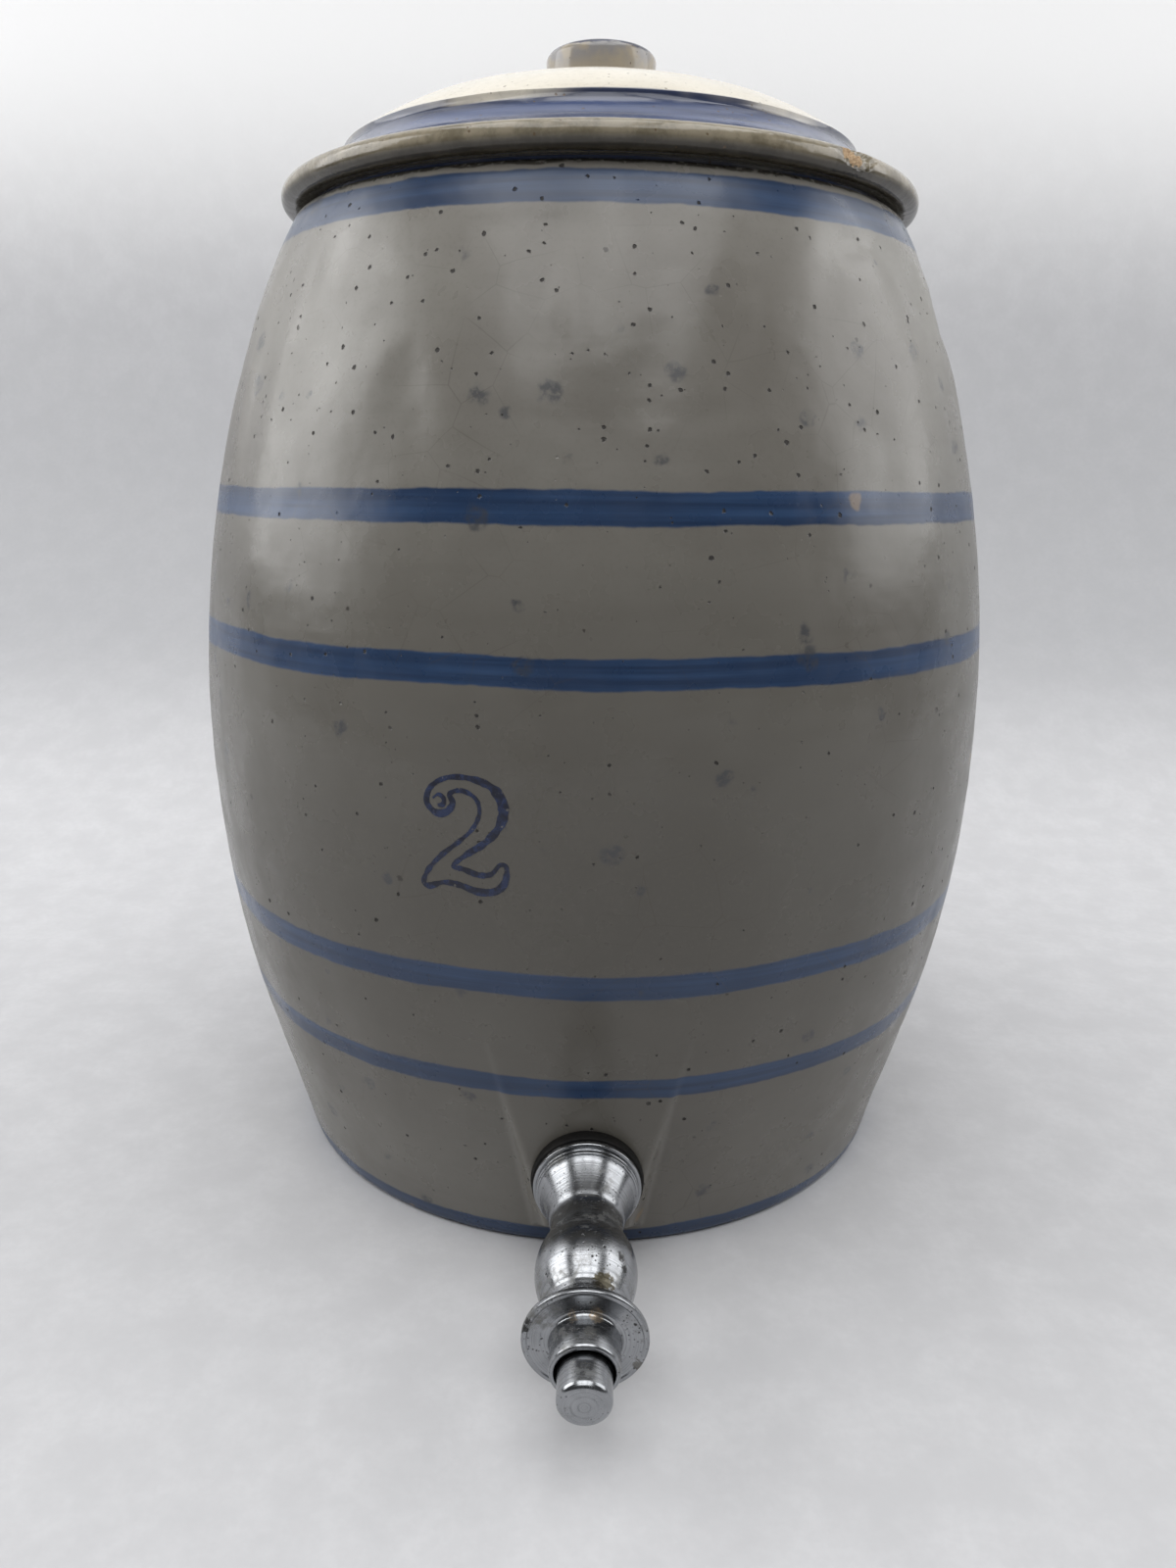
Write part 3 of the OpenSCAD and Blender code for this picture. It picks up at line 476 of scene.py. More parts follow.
def glaze_material(look):
    """Clear glaze over pale stoneware: brush-stroked cobalt bands, pinholes, blotches, specks and crazing."""
    # A fired glaze is glass: it is smooth and glossy, and the lamps lie soft-edged in its ripples.
    material, tree, shader, place = new_material("Salt-grey glaze with cobalt bands")
    height = node(tree, "SeparateXYZ", {0: place}).outputs[2]

    # The glaze's tone drifts over centimetres and shows faint throwing rings.
    around = node(tree, "VectorMath", {0: place, 1: (1, 1, 14)}, operation="MULTIPLY")
    rings = node(tree, "TexNoise", grain(around, 90, 3, 0.6))
    ringed = node(tree, "MapRange", {0: rings, 1: 0.4, 2: 0.8, 3: 0.0, 4: 0.3}, **SOFT)
    tone = coat(tree, look.glaze, look.glaze_shade, mottle(tree, place, 70, 3, 0.5, 0.35, 0.68))
    tone = coat(tree, tone, look.glaze_shade, ringed)
    # Painted shade: darker below the shoulder, where less of the overhead light falls, and less so again at
    # the heel.
    lower = node(tree, "MapRange", {0: height, 1: 100 * MM, 2: 262 * MM, 3: 0.8, 4: 0.0}, **SOFT)
    painted_shade_off_heel = node(tree, "MapRange", {0: height, 1: 15 * MM, 2: 100 * MM, 3: 0.45, 4: 1.0}, **SOFT)
    tone = coat(tree, tone, linear("#4C4942"), lower, painted_shade_off_heel)
    fine = node(tree, "TexNoise", grain(place, 1.1, 4, 0.65))
    flecks = node(tree, "MapRange", {0: fine, 1: 0.48, 2: 0.72, 3: 0.0, 4: 0.25}, **SOFT)
    tone = coat(tree, tone, linear("#67625A"), flecks)

    # Bands painted on the turning wheel: wandering edges and long strokes
    wandering = node(tree, "Math", {0: height, 1: wander(tree, place, 55, 2, 0.7)}, operation="ADD")
    wandering = node(tree, "Math", {0: wandering, 1: wander(tree, place, 5, 2, 0.16)}, operation="ADD")
    painted = None
    for low, high in BANDS:
        rise, fall = ((edge - BAND_EDGE, edge + BAND_EDGE) for edge in (low, high))
        band = between(tree, wandering, rise, fall)
        painted = node(tree, "Math", {0: painted, 1: band}, operation="MAXIMUM") if painted else band
    # Only the outside is painted: the hollow's wall faces the other way.
    normal = node(tree, "NewGeometry").outputs["Normal"]
    facing = node(tree, "VectorMath", {0: normal, 1: place}, operation="DOT_PRODUCT").outputs["Value"]
    painted = overlap(tree, painted, node(tree, "MapRange", {0: facing, 1: 0.0, 2: 0.02}, **SOFT))
    along = node(tree, "VectorMath", {0: place, 1: (1, 1, 60)}, operation="MULTIPLY")
    strokes = node(tree, "TexNoise", grain(along, 110, 4, 0.6))
    streaks = node(tree, "MapRange", {0: strokes, 1: 0.3, 2: 0.7}, **SOFT)
    blue = coat(tree, look.band_deep, look.band, streaks)
    blue = coat(tree, blue, look.band_deep, mottle(tree, place, 22, 3, 0.5, 0.38, 0.66), 0.45)
    tone = coat(tree, tone, blue, painted, 0.97)

    # Grey-blue blotches where the glaze bubbled, rusty specks of iron and spots of bare clay
    blotch, _ = spots(tree, place, 15, 0.9, 3.1, 0.13, 0.9)
    patchy = mottle(tree, place, 1.8, 4, 0.65, 0.36, 0.6, 0.1, 0.75)
    tone = coat(tree, tone, linear("#3B3E44"), blotch, patchy)
    rust, _ = spots(tree, place, 19, 0.35, 0.95, 0.31, 0.8)
    tone = coat(tree, tone, linear("#2E2823"), rust, 0.85)
    tan, _ = spots(tree, place, 42, 0.8, 2.6, 0.52, 0.7)
    tone = coat(tree, tone, look.clay, tan, 0.6)

    # Pinholes, dense on the shoulder and scarce lower down
    widest = look.pit_size / MM
    pits, lot = spots(tree, place, 3.4, widest * 0.2, widest, 0.77, 0.9)
    share = {0: height, 1: PITS_SCARCE * MM, 2: PITS_DENSE * MM, 3: 0.72, 4: 0.3}
    share = node(tree, "MapRange", share, **SOFT)
    spare = node(tree, "Math", {0: lot.outputs[1], 1: share}, operation="SUBTRACT")
    pits = overlap(tree, pits, node(tree, "MapRange", {0: spare, 1: 0.0, 2: 0.05}, **SOFT))
    pricks, few = spots(tree, place, 3.1, 0.08, 0.24, 0.91, 0.2)
    pricks = overlap(tree, pricks, node(tree, "MapRange", {0: few.outputs[2], 1: 0.45, 2: 0.5}, **SOFT))
    tone = coat(tree, tone, linear("#1F1B17"), pits, 0.92)
    tone = coat(tree, tone, linear("#2B2722"), pricks, 0.8)

    # Crazing: hair-fine cracks that have taken a little stain
    cells = {"Vector": place, "Scale": 1 / (15 * MM)}
    edge = node(tree, "TexVoronoi", cells, feature="DISTANCE_TO_EDGE").outputs["Distance"]
    crack = node(tree, "MapRange", {0: edge, 1: 0.002, 2: 0.011, 3: 1.0, 4: 0.0}, **SOFT)
    stained = mottle(tree, place, 34, 2, 0.5, 0.45, 0.65, 0.0, 0.3)
    tone = coat(tree, tone, linear("#443E34"), crack, stained)

    # The rim is worn to brown clay, with sparks of glaze left on it, and painted near black as shade where
    # the lid overhangs it.
    ragged = node(tree, "Math", {0: height, 1: wander(tree, place, 6, 4, 0.5)}, operation="ADD")
    worn = {0: ragged, 1: (RIM_WORN_AND_SHADED - 0.25) * MM, 2: (RIM_WORN_AND_SHADED + 0.25) * MM}
    worn = node(tree, "MapRange", worn, **SOFT)
    worn = overlap(tree, worn, mottle(tree, place, 1.6, 4, 0.5, 0.34, 0.46))
    tone = coat(tree, tone, linear("#2C271D"), worn, 0.9)

    matt = mottle(tree, place, 16, 4, 0.6, 0.3, 0.75, 0.24, 0.37)
    rough = raised(tree, matt, (worn, 0.35), (pits, 0.4))
    feed(tree, shader, {"Base Color": tone, "Roughness": rough, "IOR": GLAZE_IOR})
    bumps(
        tree,
        shader,
        (node(tree, "TexNoise", grain(place, 26, 3)), 1.0, 0.6),
        (rings, 0.2, 0.3),
        (fine, 0.02, 0.5),
        (raised(tree, overlap(tree, pits, -1.0), (pricks, -0.4)), 0.6, 1.0),
        (overlap(tree, painted, strokes), 0.03, 0.6),
    )
    return material


class COOLER_OT_crock(bpy.types.Operator):
    """Build the glazed crock with its flat tap pad and uneven wall"""

    bl_idname = "cooler.crock"
    bl_label = "Crock"

    def execute(self, context):
        look = settings("crock")
        bm = spin(crock_profile(), 200)
        # The wall under the pad has a finer mesh.
        near = [
            edge
            for edge in bm.edges
            if all(v.co.y < -0.085 and abs(v.co.x) < 0.043 and 0.004 < v.co.z < 0.07 for v in edge.verts)
            and all(math.hypot(v.co.x, v.co.y) / MM > crock_radius(v.co.z / MM) - 4 for v in edge.verts)
        ]
        bmesh.ops.subdivide_edges(bm, edges=near, cuts=4, use_grid_fill=True)
        shape_wall(bm, look.unevenness)
        bmesh.ops.recalc_face_normals(bm, faces=bm.faces)
        hole = [(0, HOLE_BACK), (TAP_HOLE_R, HOLE_BACK), (TAP_HOLE_R, HOLE_FRONT), (0, HOLE_FRONT)]
        bm = cut_away(bm, spin(hole, 96, False, TAP))
        glaze = glaze_material(look)
        finish_piece("crock_wall", bm, glaze, 50, "crock", ("crock",))
        return {"FINISHED"}


# ---- Capacity numeral ----


NUMERAL_Z, NUMERAL_TURN = 123.8, -14.5
# Edge of an open figure 2 with a curl and a waved foot: across, up and the line's width, in millimetres
NUMERAL = (
    (-9.2, 7.6, 1.3), (-8.1, 11.2, 1.2), (-4.1, 13.7, 1.1), (1.6, 13.9, 1.3), (7.0, 11.9, 1.9),
    (9.5, 7.7, 2.3), (8.6, 3.0, 2.1), (5.0, -1.3, 1.6), (0.2, -4.7, 1.2), (-3.1, -7.7, 1.0),
    (-0.6, -8.3, 1.1), (3.2, -9.4, 1.3), (6.4, -8.9, 1.1), (8.5, -6.5, 1.0), (10.1, -7.0, 1.1),
    (9.7, -10.7, 1.5), (7.3, -13.2, 1.8), (3.0, -13.7, 1.7), (-1.6, -12.4, 1.4), (-5.6, -12.1, 1.3),
    (-9.4, -13.4, 1.4), (-10.8, -12.3, 1.2), (-9.2, -8.9, 1.1), (-5.7, -5.1, 1.0), (-1.4, -1.5, 0.9),
    (2.1, 2.0, 0.9), (3.8, 6.0, 0.9), (2.8, 9.3, 1.0), (-0.6, 10.9, 1.0), (-3.4, 9.9, 1.1),
    (-2.7, 7.7, 1.3), (-4.3, 5.5, 1.5), (-7.0, 5.2, 1.5),
)  # fmt: skip
CURL = ((-7.6, 8.6, 0.5), (-6.2, 9.6, 0.8), (-4.9, 8.7, 1.0), (-5.1, 7.3, 1.0), (-6.4, 7.0, 0.6))


def smooth_line(points, closed, steps=7):
    """A smooth curve through points of three numbers."""
    points = [Vector(p) for p in points]
    count = len(points)
    spans = count if closed else count - 1
    line = []
    for i in range(spans):
        around = [i + k if closed else min(max(i + k, 0), count - 1) for k in (-1, 0, 1, 2)]
        p0, p1, p2, p3 = (points[k % count] for k in around)
        slope = p2 - p0
        bend = 2 * p0 - 5 * p1 + 4 * p2 - p3
        twist = 3 * p1 - p0 - 3 * p2 + p3
        for k in range(steps):
            t = k / steps
            line.append(p1 + slope * (t / 2) + bend * (t * t / 2) + twist * (t**3 / 2))
    return line if closed else line + [points[-1]]


def painted_line(bm, points, closed, depth):
    """Lays a line of paint with an uneven width on the crock's wall."""
    line = smooth_line(points, closed)
    count = len(line)
    sides = []
    for i, here in enumerate(line):
        before = line[(i - 1) % count] if closed else line[max(i - 1, 0)]
        after = line[(i + 1) % count] if closed else line[min(i + 1, count - 1)]
        along = (after - before).xy.normalized()
        width = here.z * (1.1 + 0.45 * noise.noise(here * 0.7)) / 2
        pair = []
        for side in (-1, 1):
            across = here.x - along.y * side * width
            up = here.y + along.x * side * width
            angle = math.radians(NUMERAL_TURN - 90) + across / BELLY[0]
            z = NUMERAL_Z + up
            x, y = crock_radius(z) * math.cos(angle), crock_radius(z) * math.sin(angle)
            radius = pressed_radius(x, y, z, depth) + 0.06
            pair.append(bm.verts.new(Vector((radius * math.cos(angle), radius * math.sin(angle), z)) * MM))
        sides.append(pair)
    ends = sides[1:] + (sides[:1] if closed else [])
    for (a, b), (c, d) in zip(sides, ends):
        bm.faces.new((a, b, d, c))


class COOLER_OT_numeral(bpy.types.Operator):
    """Paint the open figure that tells the crock's measure in gallons"""

    bl_idname = "cooler.numeral"
    bl_label = "Capacity numeral"

    def execute(self, context):
        look = settings("crock")
        bm = bmesh.new()
        painted_line(bm, NUMERAL, True, look.unevenness)
        painted_line(bm, CURL, False, look.unevenness)
        bmesh.ops.recalc_face_normals(bm, faces=bm.faces)
        bmesh.ops.solidify(bm, geom=bm.faces[:], thickness=0.15 * MM)
        bmesh.ops.recalc_face_normals(bm, faces=bm.faces)
        # Cobalt ink under the glaze: as glossy as the crock, with thin places where the stamp missed
        material, tree, shader, place = new_material("Cobalt print under the glaze")
        pool = mottle(tree, place, 2.2, 4, 0.6, 0.36, 0.62)
        tone = coat(tree, linear("#1D2C50"), linear("#080E24"), pool)
        tone = coat(tree, tone, look.glaze_shade, mottle(tree, place, 1.3, 3, 0.6, 0.64, 0.72), 0.7)
        rough = node(tree, "MapRange", {0: pool, 3: 0.24, 4: 0.36})
        feed(tree, shader, {"Base Color": tone, "Roughness": rough})
        bumps(tree, shader, (pool, 0.02, 0.5), (node(tree, "TexNoise", grain(place, 0.5, 3)), 0.01, 0.5))
        finish_piece("capacity_numeral", bm, material, 60, "crock", ())
        return {"FINISHED"}


# ---- Lid ----

CHIP = Vector((61.6, -65.8, 279.2))
PLATEAU_R, DOME_R, DOME_WALL = 25, 84.29, 7.5
# Underside of the rolled edge; the locating ring reaches down from it to the lid's lowest point.
BEAD_Z, BEAD_ROUND = LID_LOW.z + 7, 3.2


def lid_profile():
    """The lid's section from the top of the knob down the outside and back under the dome."""
    low = BEAD_Z
    plateau, top = low + 31.5, LID_HIGH.z
    points = [(0, top), (8, top)]
    points += arc((13.1, top - 2.5), 2.5, 90, 8, 6)
    points += [(15.5, top - 5), (15.2, top - 7.5), (15.2, top - 10)]
    points += arc((17.6, plateau + 2.2), 2.2, 175, 265, 5)
    dome, dome_end = (PLATEAU_R, plateau - DOME_R), math.degrees(math.asin((DOME_R - 15) / DOME_R))
    points += arc(dome, DOME_R, 90, dome_end, 40)
    points += [(73.05, low + 15.9)] + arc((93.76, low + 31.98), 26.76, 219.6, 253.4, 26)
    points += arc((LID_R - BEAD_ROUND, low + BEAD_ROUND), BEAD_ROUND, 100, -88, 24)
    points += [(82.7, low), (82.7, low - 0.7), (70.75, low - 0.7), (70.75, low - 6.4), (70.2, low - 7)]
    points += [(66.3, low - 7), (65.75, low - 6.4)]
    points += arc(dome, DOME_R - DOME_WALL, 57.9, 90, 14)
    points.append((0, plateau - DOME_WALL))
    return points


def shape_lid(bm, depth):
    """Knocks a chip out of the rolled edge and makes the turning slightly uneven."""
    for vert in bm.verts:
        x, y, z = vert.co / MM
        radius = math.hypot(x, y)
        if radius < 1 or z < LID_LOW.z + 6:
            continue
        place = Vector((x, y, z))
        sink = 0.22 * (noise.noise(place / 21) + 0.6) * smooth_step(2, 14, radius)
        place.z -= max(0, sink) * (1 - smooth_step(LID_R - 12, LID_R - 7, radius))
        away = place - CHIP
        along = Vector((-CHIP.y, CHIP.x, 0)).normalized()
        reach = math.hypot(away.dot(along) / 7.2, (away - along * away.dot(along)).length / 3.0)
        if reach < 1.35:
            broken = 1 - smooth_step(0.6, 1.15, reach + 0.22 * noise.noise(place / 1.1))
            inward = Vector((-x / radius, -y / radius, -0.9)).normalized()
            place += inward * broken * depth / MM * (0.8 + 0.4 * noise.noise(place / 0.9))
        vert.co = place * MM


def lid_material(look):
    """Cream glaze with a cobalt band in the cove, an olive rolled edge, specks and a chip to the clay."""
    # The lid's glaze is thicker and glossier than the crock's, so the lamps lie sharper in it.
    material, tree, shader, place = new_material("Cream glaze with a cobalt cove")
    height = node(tree, "SeparateXYZ", {0: place}).outputs[2]
    around = node(tree, "VectorMath", {0: place, 1: (1, 1, 0)}, operation="MULTIPLY")
    radius = node(tree, "VectorMath", {0: around}, operation="LENGTH").outputs["Value"]
    tone = coat(tree, look.glaze, linear("#D8D0BE"), mottle(tree, place, 40, 4, 0.5, 0.35, 0.68))
    fine = node(tree, "TexNoise", grain(place, 1.2, 4, 0.65))
    flecks = node(tree, "MapRange", {0: fine, 1: 0.5, 2: 0.74, 3: 0.0, 4: 0.3}, **SOFT)
    tone = coat(tree, tone, linear("#9C937F"), flecks)

    # The rolled edge: olive over the iron-stained clay, paler where the glaze pooled, and darker underneath,
    # partly bare clay and partly painted shade under the overhang
    edge_radius = node(tree, "Math", {0: radius, 1: wander(tree, place, 14, 3, 0.7)}, operation="ADD")
    rolled = node(tree, "MapRange", {0: edge_radius, 1: (LID_R - 4.6) * MM, 2: (LID_R - 3.4) * MM}, **SOFT)
    olive = coat(tree, linear("#857B66"), linear("#5A5039"), mottle(tree, place, 9, 5, 0.7, 0.4, 0.62))
    tone = coat(tree, tone, olive, rolled, 0.88)
    # Painted shade: the underside of the rolled edge is darkened where the lid overhangs the rim.
    under = {0: height, 1: (BEAD_Z + 1.2) * MM, 2: (BEAD_Z + 3.4) * MM, 3: 1.0, 4: 0.0}
    under = node(tree, "MapRange", under, **SOFT)
    outer = node(tree, "MapRange", {0: radius, 1: 80 * MM, 2: 84 * MM}, **SOFT)
    tone = coat(tree, tone, linear("#1C1812"), under, outer, 0.85)

    # Cobalt band in the cove, denser along its upper edge
    cove_radius = node(tree, "Math", {0: radius, 1: wander(tree, place, 30, 3, 0.5)}, operation="ADD")
    cove = between(tree, cove_radius, (72.4, 73.3), (82.6, 83.4))
    upper = node(tree, "MapRange", {0: cove_radius, 1: 73.2 * MM, 2: 75.4 * MM, 3: 1.0, 4: 0.0}, **SOFT)
    along = node(tree, "VectorMath", {0: place, 1: (1, 1, 30)}, operation="MULTIPLY")
    blue = coat(tree, linear("#263558"), look.cove, mottle(tree, along, 60, 5, 0.7, 0.36, 0.66))
    blue = coat(tree, blue, linear("#1C2744"), cove, upper, 0.7)
    tone = coat(tree, tone, blue, cove, 0.97)

    # The knob: greyer, speckled brown, with a blue wash and a worn navy line round its top
    knob = node(tree, "MapRange", {0: radius, 1: 16.5 * MM, 2: 18.5 * MM, 3: 1.0, 4: 0.0}, **SOFT)
    tone = coat(tree, tone, linear("#94897A"), knob, 0.8)
    specks, lot = spots(tree, place, 2.1, 0.14, 0.4, 0.22, 0.8)
    chance = node(tree, "Math", {0: lot.outputs[1], 1: overlap(tree, knob, 0.6)}, operation="ADD")
    specks = overlap(tree, specks, node(tree, "MapRange", {0: chance, 1: 0.6, 2: 0.68}, **SOFT))
    tone = coat(tree, tone, linear("#5E4A34"), specks, 0.8)
    top = LID_HIGH.z
    above = node(tree, "MapRange", {0: height, 1: (top - 8) * MM, 2: (top - 3) * MM}, **SOFT)
    patchy = mottle(tree, place, 6, 3, 0.5, 0.36, 0.62)
    tone = coat(tree, tone, linear("#757E90"), knob, above, patchy, 0.5)
    line_height = node(tree, "Math", {0: height, 1: wander(tree, place, 4, 4, 0.5)}, operation="ADD")
    line = node(tree, "MapRange", {0: line_height, 1: (top - 1.5) * MM, 2: (top - 0.9) * MM}, **SOFT)
    outer = node(tree, "MapRange", {0: radius, 1: 12.0 * MM, 2: 13.0 * MM}, **SOFT)
    tone = coat(tree, tone, linear("#232B46"), line, outer, knob, 0.9)

    # The chip shows tan, granular clay.
    away = node(tree, "VectorMath", {0: place, 1: CHIP * MM}, operation="SUBTRACT")
    turned = {"Vector": away, "Rotation": (0, 0, -math.atan2(CHIP.x, -CHIP.y)), "Scale": (0.36, 1, 1)}
    turned = node(tree, "Mapping", turned)
    reach = node(tree, "VectorMath", {0: turned}, operation="LENGTH").outputs["Value"]
    reach = node(tree, "Math", {0: reach, 1: wander(tree, place, 1.8, 4, 0.5)}, operation="ADD")
    bare = node(tree, "MapRange", {0: reach, 1: 2.4 * MM, 2: 2.8 * MM, 3: 1.0, 4: 0.0}, **SOFT)
    grit = mottle(tree, place, 0.5, 4, 0.7, 0.36, 0.66)
    tone = coat(tree, tone, coat(tree, linear("#CDB08C"), linear("#9C7B57"), grit), bare)

    matt = mottle(tree, place, 12, 4, 0.6, 0.3, 0.75, 0.1, 0.2)
    feed(tree, shader, {"Base Color": tone, "Roughness": raised(tree, matt, (bare, 0.6)), "IOR": GLAZE_IOR})
    bumps(
        tree,
        shader,
        (node(tree, "TexNoise", grain(place, 17, 3)), 0.4, 0.5),
        (fine, 0.02, 0.5),
        (specks, -0.06, 0.6),
        (overlap(tree, bare, grit), 0.12, 0.9),
        (overlap(tree, rolled, node(tree, "TexNoise", grain(place, 5, 3))), 0.35, 0.6),
    )
    return material


class COOLER_OT_lid(bpy.types.Operator):
    """Build the domed lid with its rolled edge, banded cove and knob"""

    bl_idname = "cooler.lid"
    bl_label = "Lid"

    def execute(self, context):
        look = settings("lid")
        bm = spin(lid_profile(), 240)
        # The rolled edge has a finer mesh round its chip.
        near = [
            edge
            for edge in bm.edges
            if all((v.co / MM - CHIP).length < 13 and v.co.z / MM > BEAD_Z + 0.2 for v in edge.verts)
        ]
        bmesh.ops.subdivide_edges(bm, edges=near, cuts=3, use_grid_fill=True)
        shape_lid(bm, look.chip_depth)
        bmesh.ops.recalc_face_normals(bm, faces=bm.faces)
        finish_piece("lid_shell", bm, lid_material(look), 40, "lid", ("lid",))
        return {"FINISHED"}


# ---- Tap: profiles give (radius, distance from the pad) ----


def plate_material(name, metal, look, worn, stains=()):
    """Worn satin plate on turned metal: lathe lines, scratches, clustered pits, stains and brassy wear."""
    # Polished and then handled: the lamps lie in it as bright bars, broken by dull film and black pits.
    material, tree, shader, place = new_material(name)
    # Every mark of the lathe is a ring round the tap's axis, drawn coarser than a real one so that it shows.
    axis = TAP.to_3x3() @ Vector((0, 0, 1))
    from_pad = node(tree, "VectorMath", {0: place, 1: TAP.translation}, operation="SUBTRACT")
    along = node(tree, "VectorMath", {0: from_pad, 1: axis}, operation="DOT_PRODUCT").outputs["Value"]
    crossed = node(tree, "VectorMath", {0: from_pad, 1: axis}, operation="CROSS_PRODUCT")
    across = node(tree, "VectorMath", {0: crossed}, operation="LENGTH").outputs["Value"]
    ring = raised(tree, along, (across, 0.8))
    marks = {"W": ring, "Scale": 1 / look.turning, "Detail": 4.0, "Roughness": 0.7}
    lathe = node(tree, "TexNoise", marks, noise_dimensions="1D")
    lines = node(tree, "MapRange", {0: lathe, 1: 0.44, 2: 0.66}, **SOFT)
    lines = overlap(tree, lines, mottle(tree, place, 5, 4, 0.6, 0.36, 0.64, 0.25, 1.0))
    scratched = node(tree, "Mapping", {"Vector": place, "Rotation": (0.4, 0.7, 0.3), "Scale": (1, 9, 1)})
    scratches = mottle(tree, scratched, 2.4, 5, 0.7, 0.56, 0.68)
    cloud = mottle(tree, place, 6, 4, 0.65, 0.34, 0.68)
    film = mottle(tree, place, 11, 4, 0.65, 0.54, 0.66)
    film = overlap(tree, film, mottle(tree, place, 1.6, 4, 0.7, 0.36, 0.6))

    # Pits gather where the plate wore thin.
    thin = mottle(tree, place, 8, 3, 0.6, 0.46, 0.56, 0.04, 1.0)
    small, _ = spots(tree, place, 0.85, 0.07, 0.22, 0.37, 0.9)
    large, lot = spots(tree, place, 2.2, 0.1, 0.42, 0.68, 1.0)
    large = overlap(tree, large, node(tree, "MapRange", {0: lot.outputs[1], 1: 0.35, 2: 0.4}, **SOFT))
    pits = node(tree, "Math", {0: small, 1: large}, operation="MAXIMUM")
    pits = overlap(tree, pits, node(tree, "MapRange", {0: thin, 1: 0.3, 2: 0.7}, **SOFT))

    tone = coat(tree, metal, linear("#7E8184"), cloud, 0.3)
    tone = coat(tree, tone, linear("#5E6063"), lines, 0.55)
    tone = coat(tree, tone, look.tarnish, film, 0.45 * worn)
    tone = coat(tree, tone, linear("#161310"), pits, 0.95 * worn)
    metallic = raised(tree, 1.0, (film, -0.35 * worn))
    dark = None
    for spot, radius, stain, strength in stains:
        away = node(tree, "VectorMath", {0: place, 1: spot}, operation="SUBTRACT")
        reach = node(tree, "VectorMath", {0: away}, operation="LENGTH").outputs["Value"]
        ragged = wander(tree, place, radius * 0.45, 5, 0.7 * radius, 0.7)
        ragged = node(tree, "Math", {0: reach, 1: ragged}, operation="ADD")
        edge = {0: ragged, 1: 0.75 * radius * MM, 2: 1.1 * radius * MM, 3: strength, 4: 0.0}
        mask = node(tree, "MapRange", edge, **SOFT)
        tone = coat(tree, tone, stain, mask)
        dark = node(tree, "Math", {0: dark, 1: mask}, operation="MAXIMUM") if dark else mask
    if dark:
        metallic = raised(tree, metallic, (dark, -0.6))
    metallic = raised(tree, metallic, (pits, -0.6 * worn))
    rough = node(tree, "MapRange", {0: cloud, 3: 0.17, 4: 0.23})
    rough = raised(tree, rough, (film, 0.2), (lines, 0.1), (scratches, 0.06))
    feed(tree, shader, {"Base Color": tone, "Metallic": metallic, "Roughness": rough})
    bumps(
        tree,
        shader,
        (lathe, 0.035, 0.6),
        (scratches, 0.003, 0.4),
        (overlap(tree, pits, -1.0), 0.06, 0.8),
        (node(tree, "TexNoise", grain(place, 3.5, 3)), 0.008, 0.4),
    )
    return material


# The shank's thread: its turns, its pitch and the place of its last crest behind the pad
THREAD_TURNS, THREAD_PITCH, THREAD_END = 21, 1.4, -32.1
# How far a clamped gasket's edge swells
GASKET_BULGE = 0.35


def body_profile():
    """The turned body and its shank as one closed loop, with the bores through it."""
    points = rounded(((13.0, 3.5), (13.95, 3.5, 0.35), (13.95, 5.1, 0.45), (13.1, 5.1)))
    points += rounded(((13.1, 5.15), (13.1, 6.1, 0.35), (12.75, 6.15)))
    points += rounded(((12.75, 6.35), (13.0, 6.4, 0.25), (13.0, 7.3, 0.3), (12.5, 7.3)))
    points += rounded(((12.45, 7.5), (12.6, 7.7, 0.15), (12.35, 8.0)))
    points += arc((46.15, 24.47), 37.6, 205.98, 191.46, 8)[1:]
    points += arc((16.85, 19.5), 8, 198.4, 180, 6)[1:]
    points += arc((27.495, 19.5), 18.645, 180, 156.3, 8)[1:]
    points += arc((-6.645, 34.5), 18.645, -23.7, 33, 32)[1:]
    points += rounded(((8.95, 45.1), (8.75, 46.3, 2), (8.75, 48.9), (8.5, 49.4)))
    points += [(7.0, 49.4), (7.0, 24.5), (4.6, 24.5), (4.6, 15), (6.2, 15), (6.2, -32.85), (7.9, -32.85)]
    for turn in range(THREAD_TURNS):
        points += [(8.5, THREAD_END + turn * THREAD_PITCH), (8.0, THREAD_END + 0.7 + turn * THREAD_PITCH)]
    points += [(8.5, -2.6), (8.5, 3.5)]
    return points


def bonnet_profile():
    """The bonnet with its spigot, finger flange and collar as one closed loop."""
    points = [(4.6, 42.4), (6.6, 42.4), (6.95, 42.9), (6.95, 50.0), (9.0, 50.0), (9.2, 50.2)]
    points += rounded(((9.2, 50.4), (9.2, 51.6, 0.9), (10.4, 52.55), (12.9, 52.6)))
    points += arc((13.45, 53.15), 0.55, -90, 0, 4) + arc((13.45, 53.85), 0.55, 0, 90, 4)
    dish = ((12.9, 54.4), (12.6, 54.1, 0.3), (11.0, 53.98), (9.2, 54.05), (7.8, 54.1, 1.0), (7.75, 56))
    collar = ((7.75, 56.2), (7.67, 57, 0.5), (7.75, 57.8), (7.75, 62.8, 0.75), (6.6, 62.8, 0.25), (6.6, 58.5))
    points += rounded(dish) + rounded(collar)
    points += [(6.6, 53.2), (2.05, 53.2), (2.05, 50.2), (4.6, 50.2)]
    return points


def button_profile():
    """The push button, hollow behind for the spring, from the middle of its face."""
    points = [(0, 71.0), (2.2, 70.98)] + arc((4.3, 69.4), 1.6, 88, 0, 8)
    points += rounded(((5.9, 67.5), (5.9, 59.0, 0.35), (4.8, 59.0, 0.25), (4.8, 61.0)))
    points += [(4.8, 67.8), (2.8, 67.8), (2.8, 61.0), (0, 61.0)]
    return points


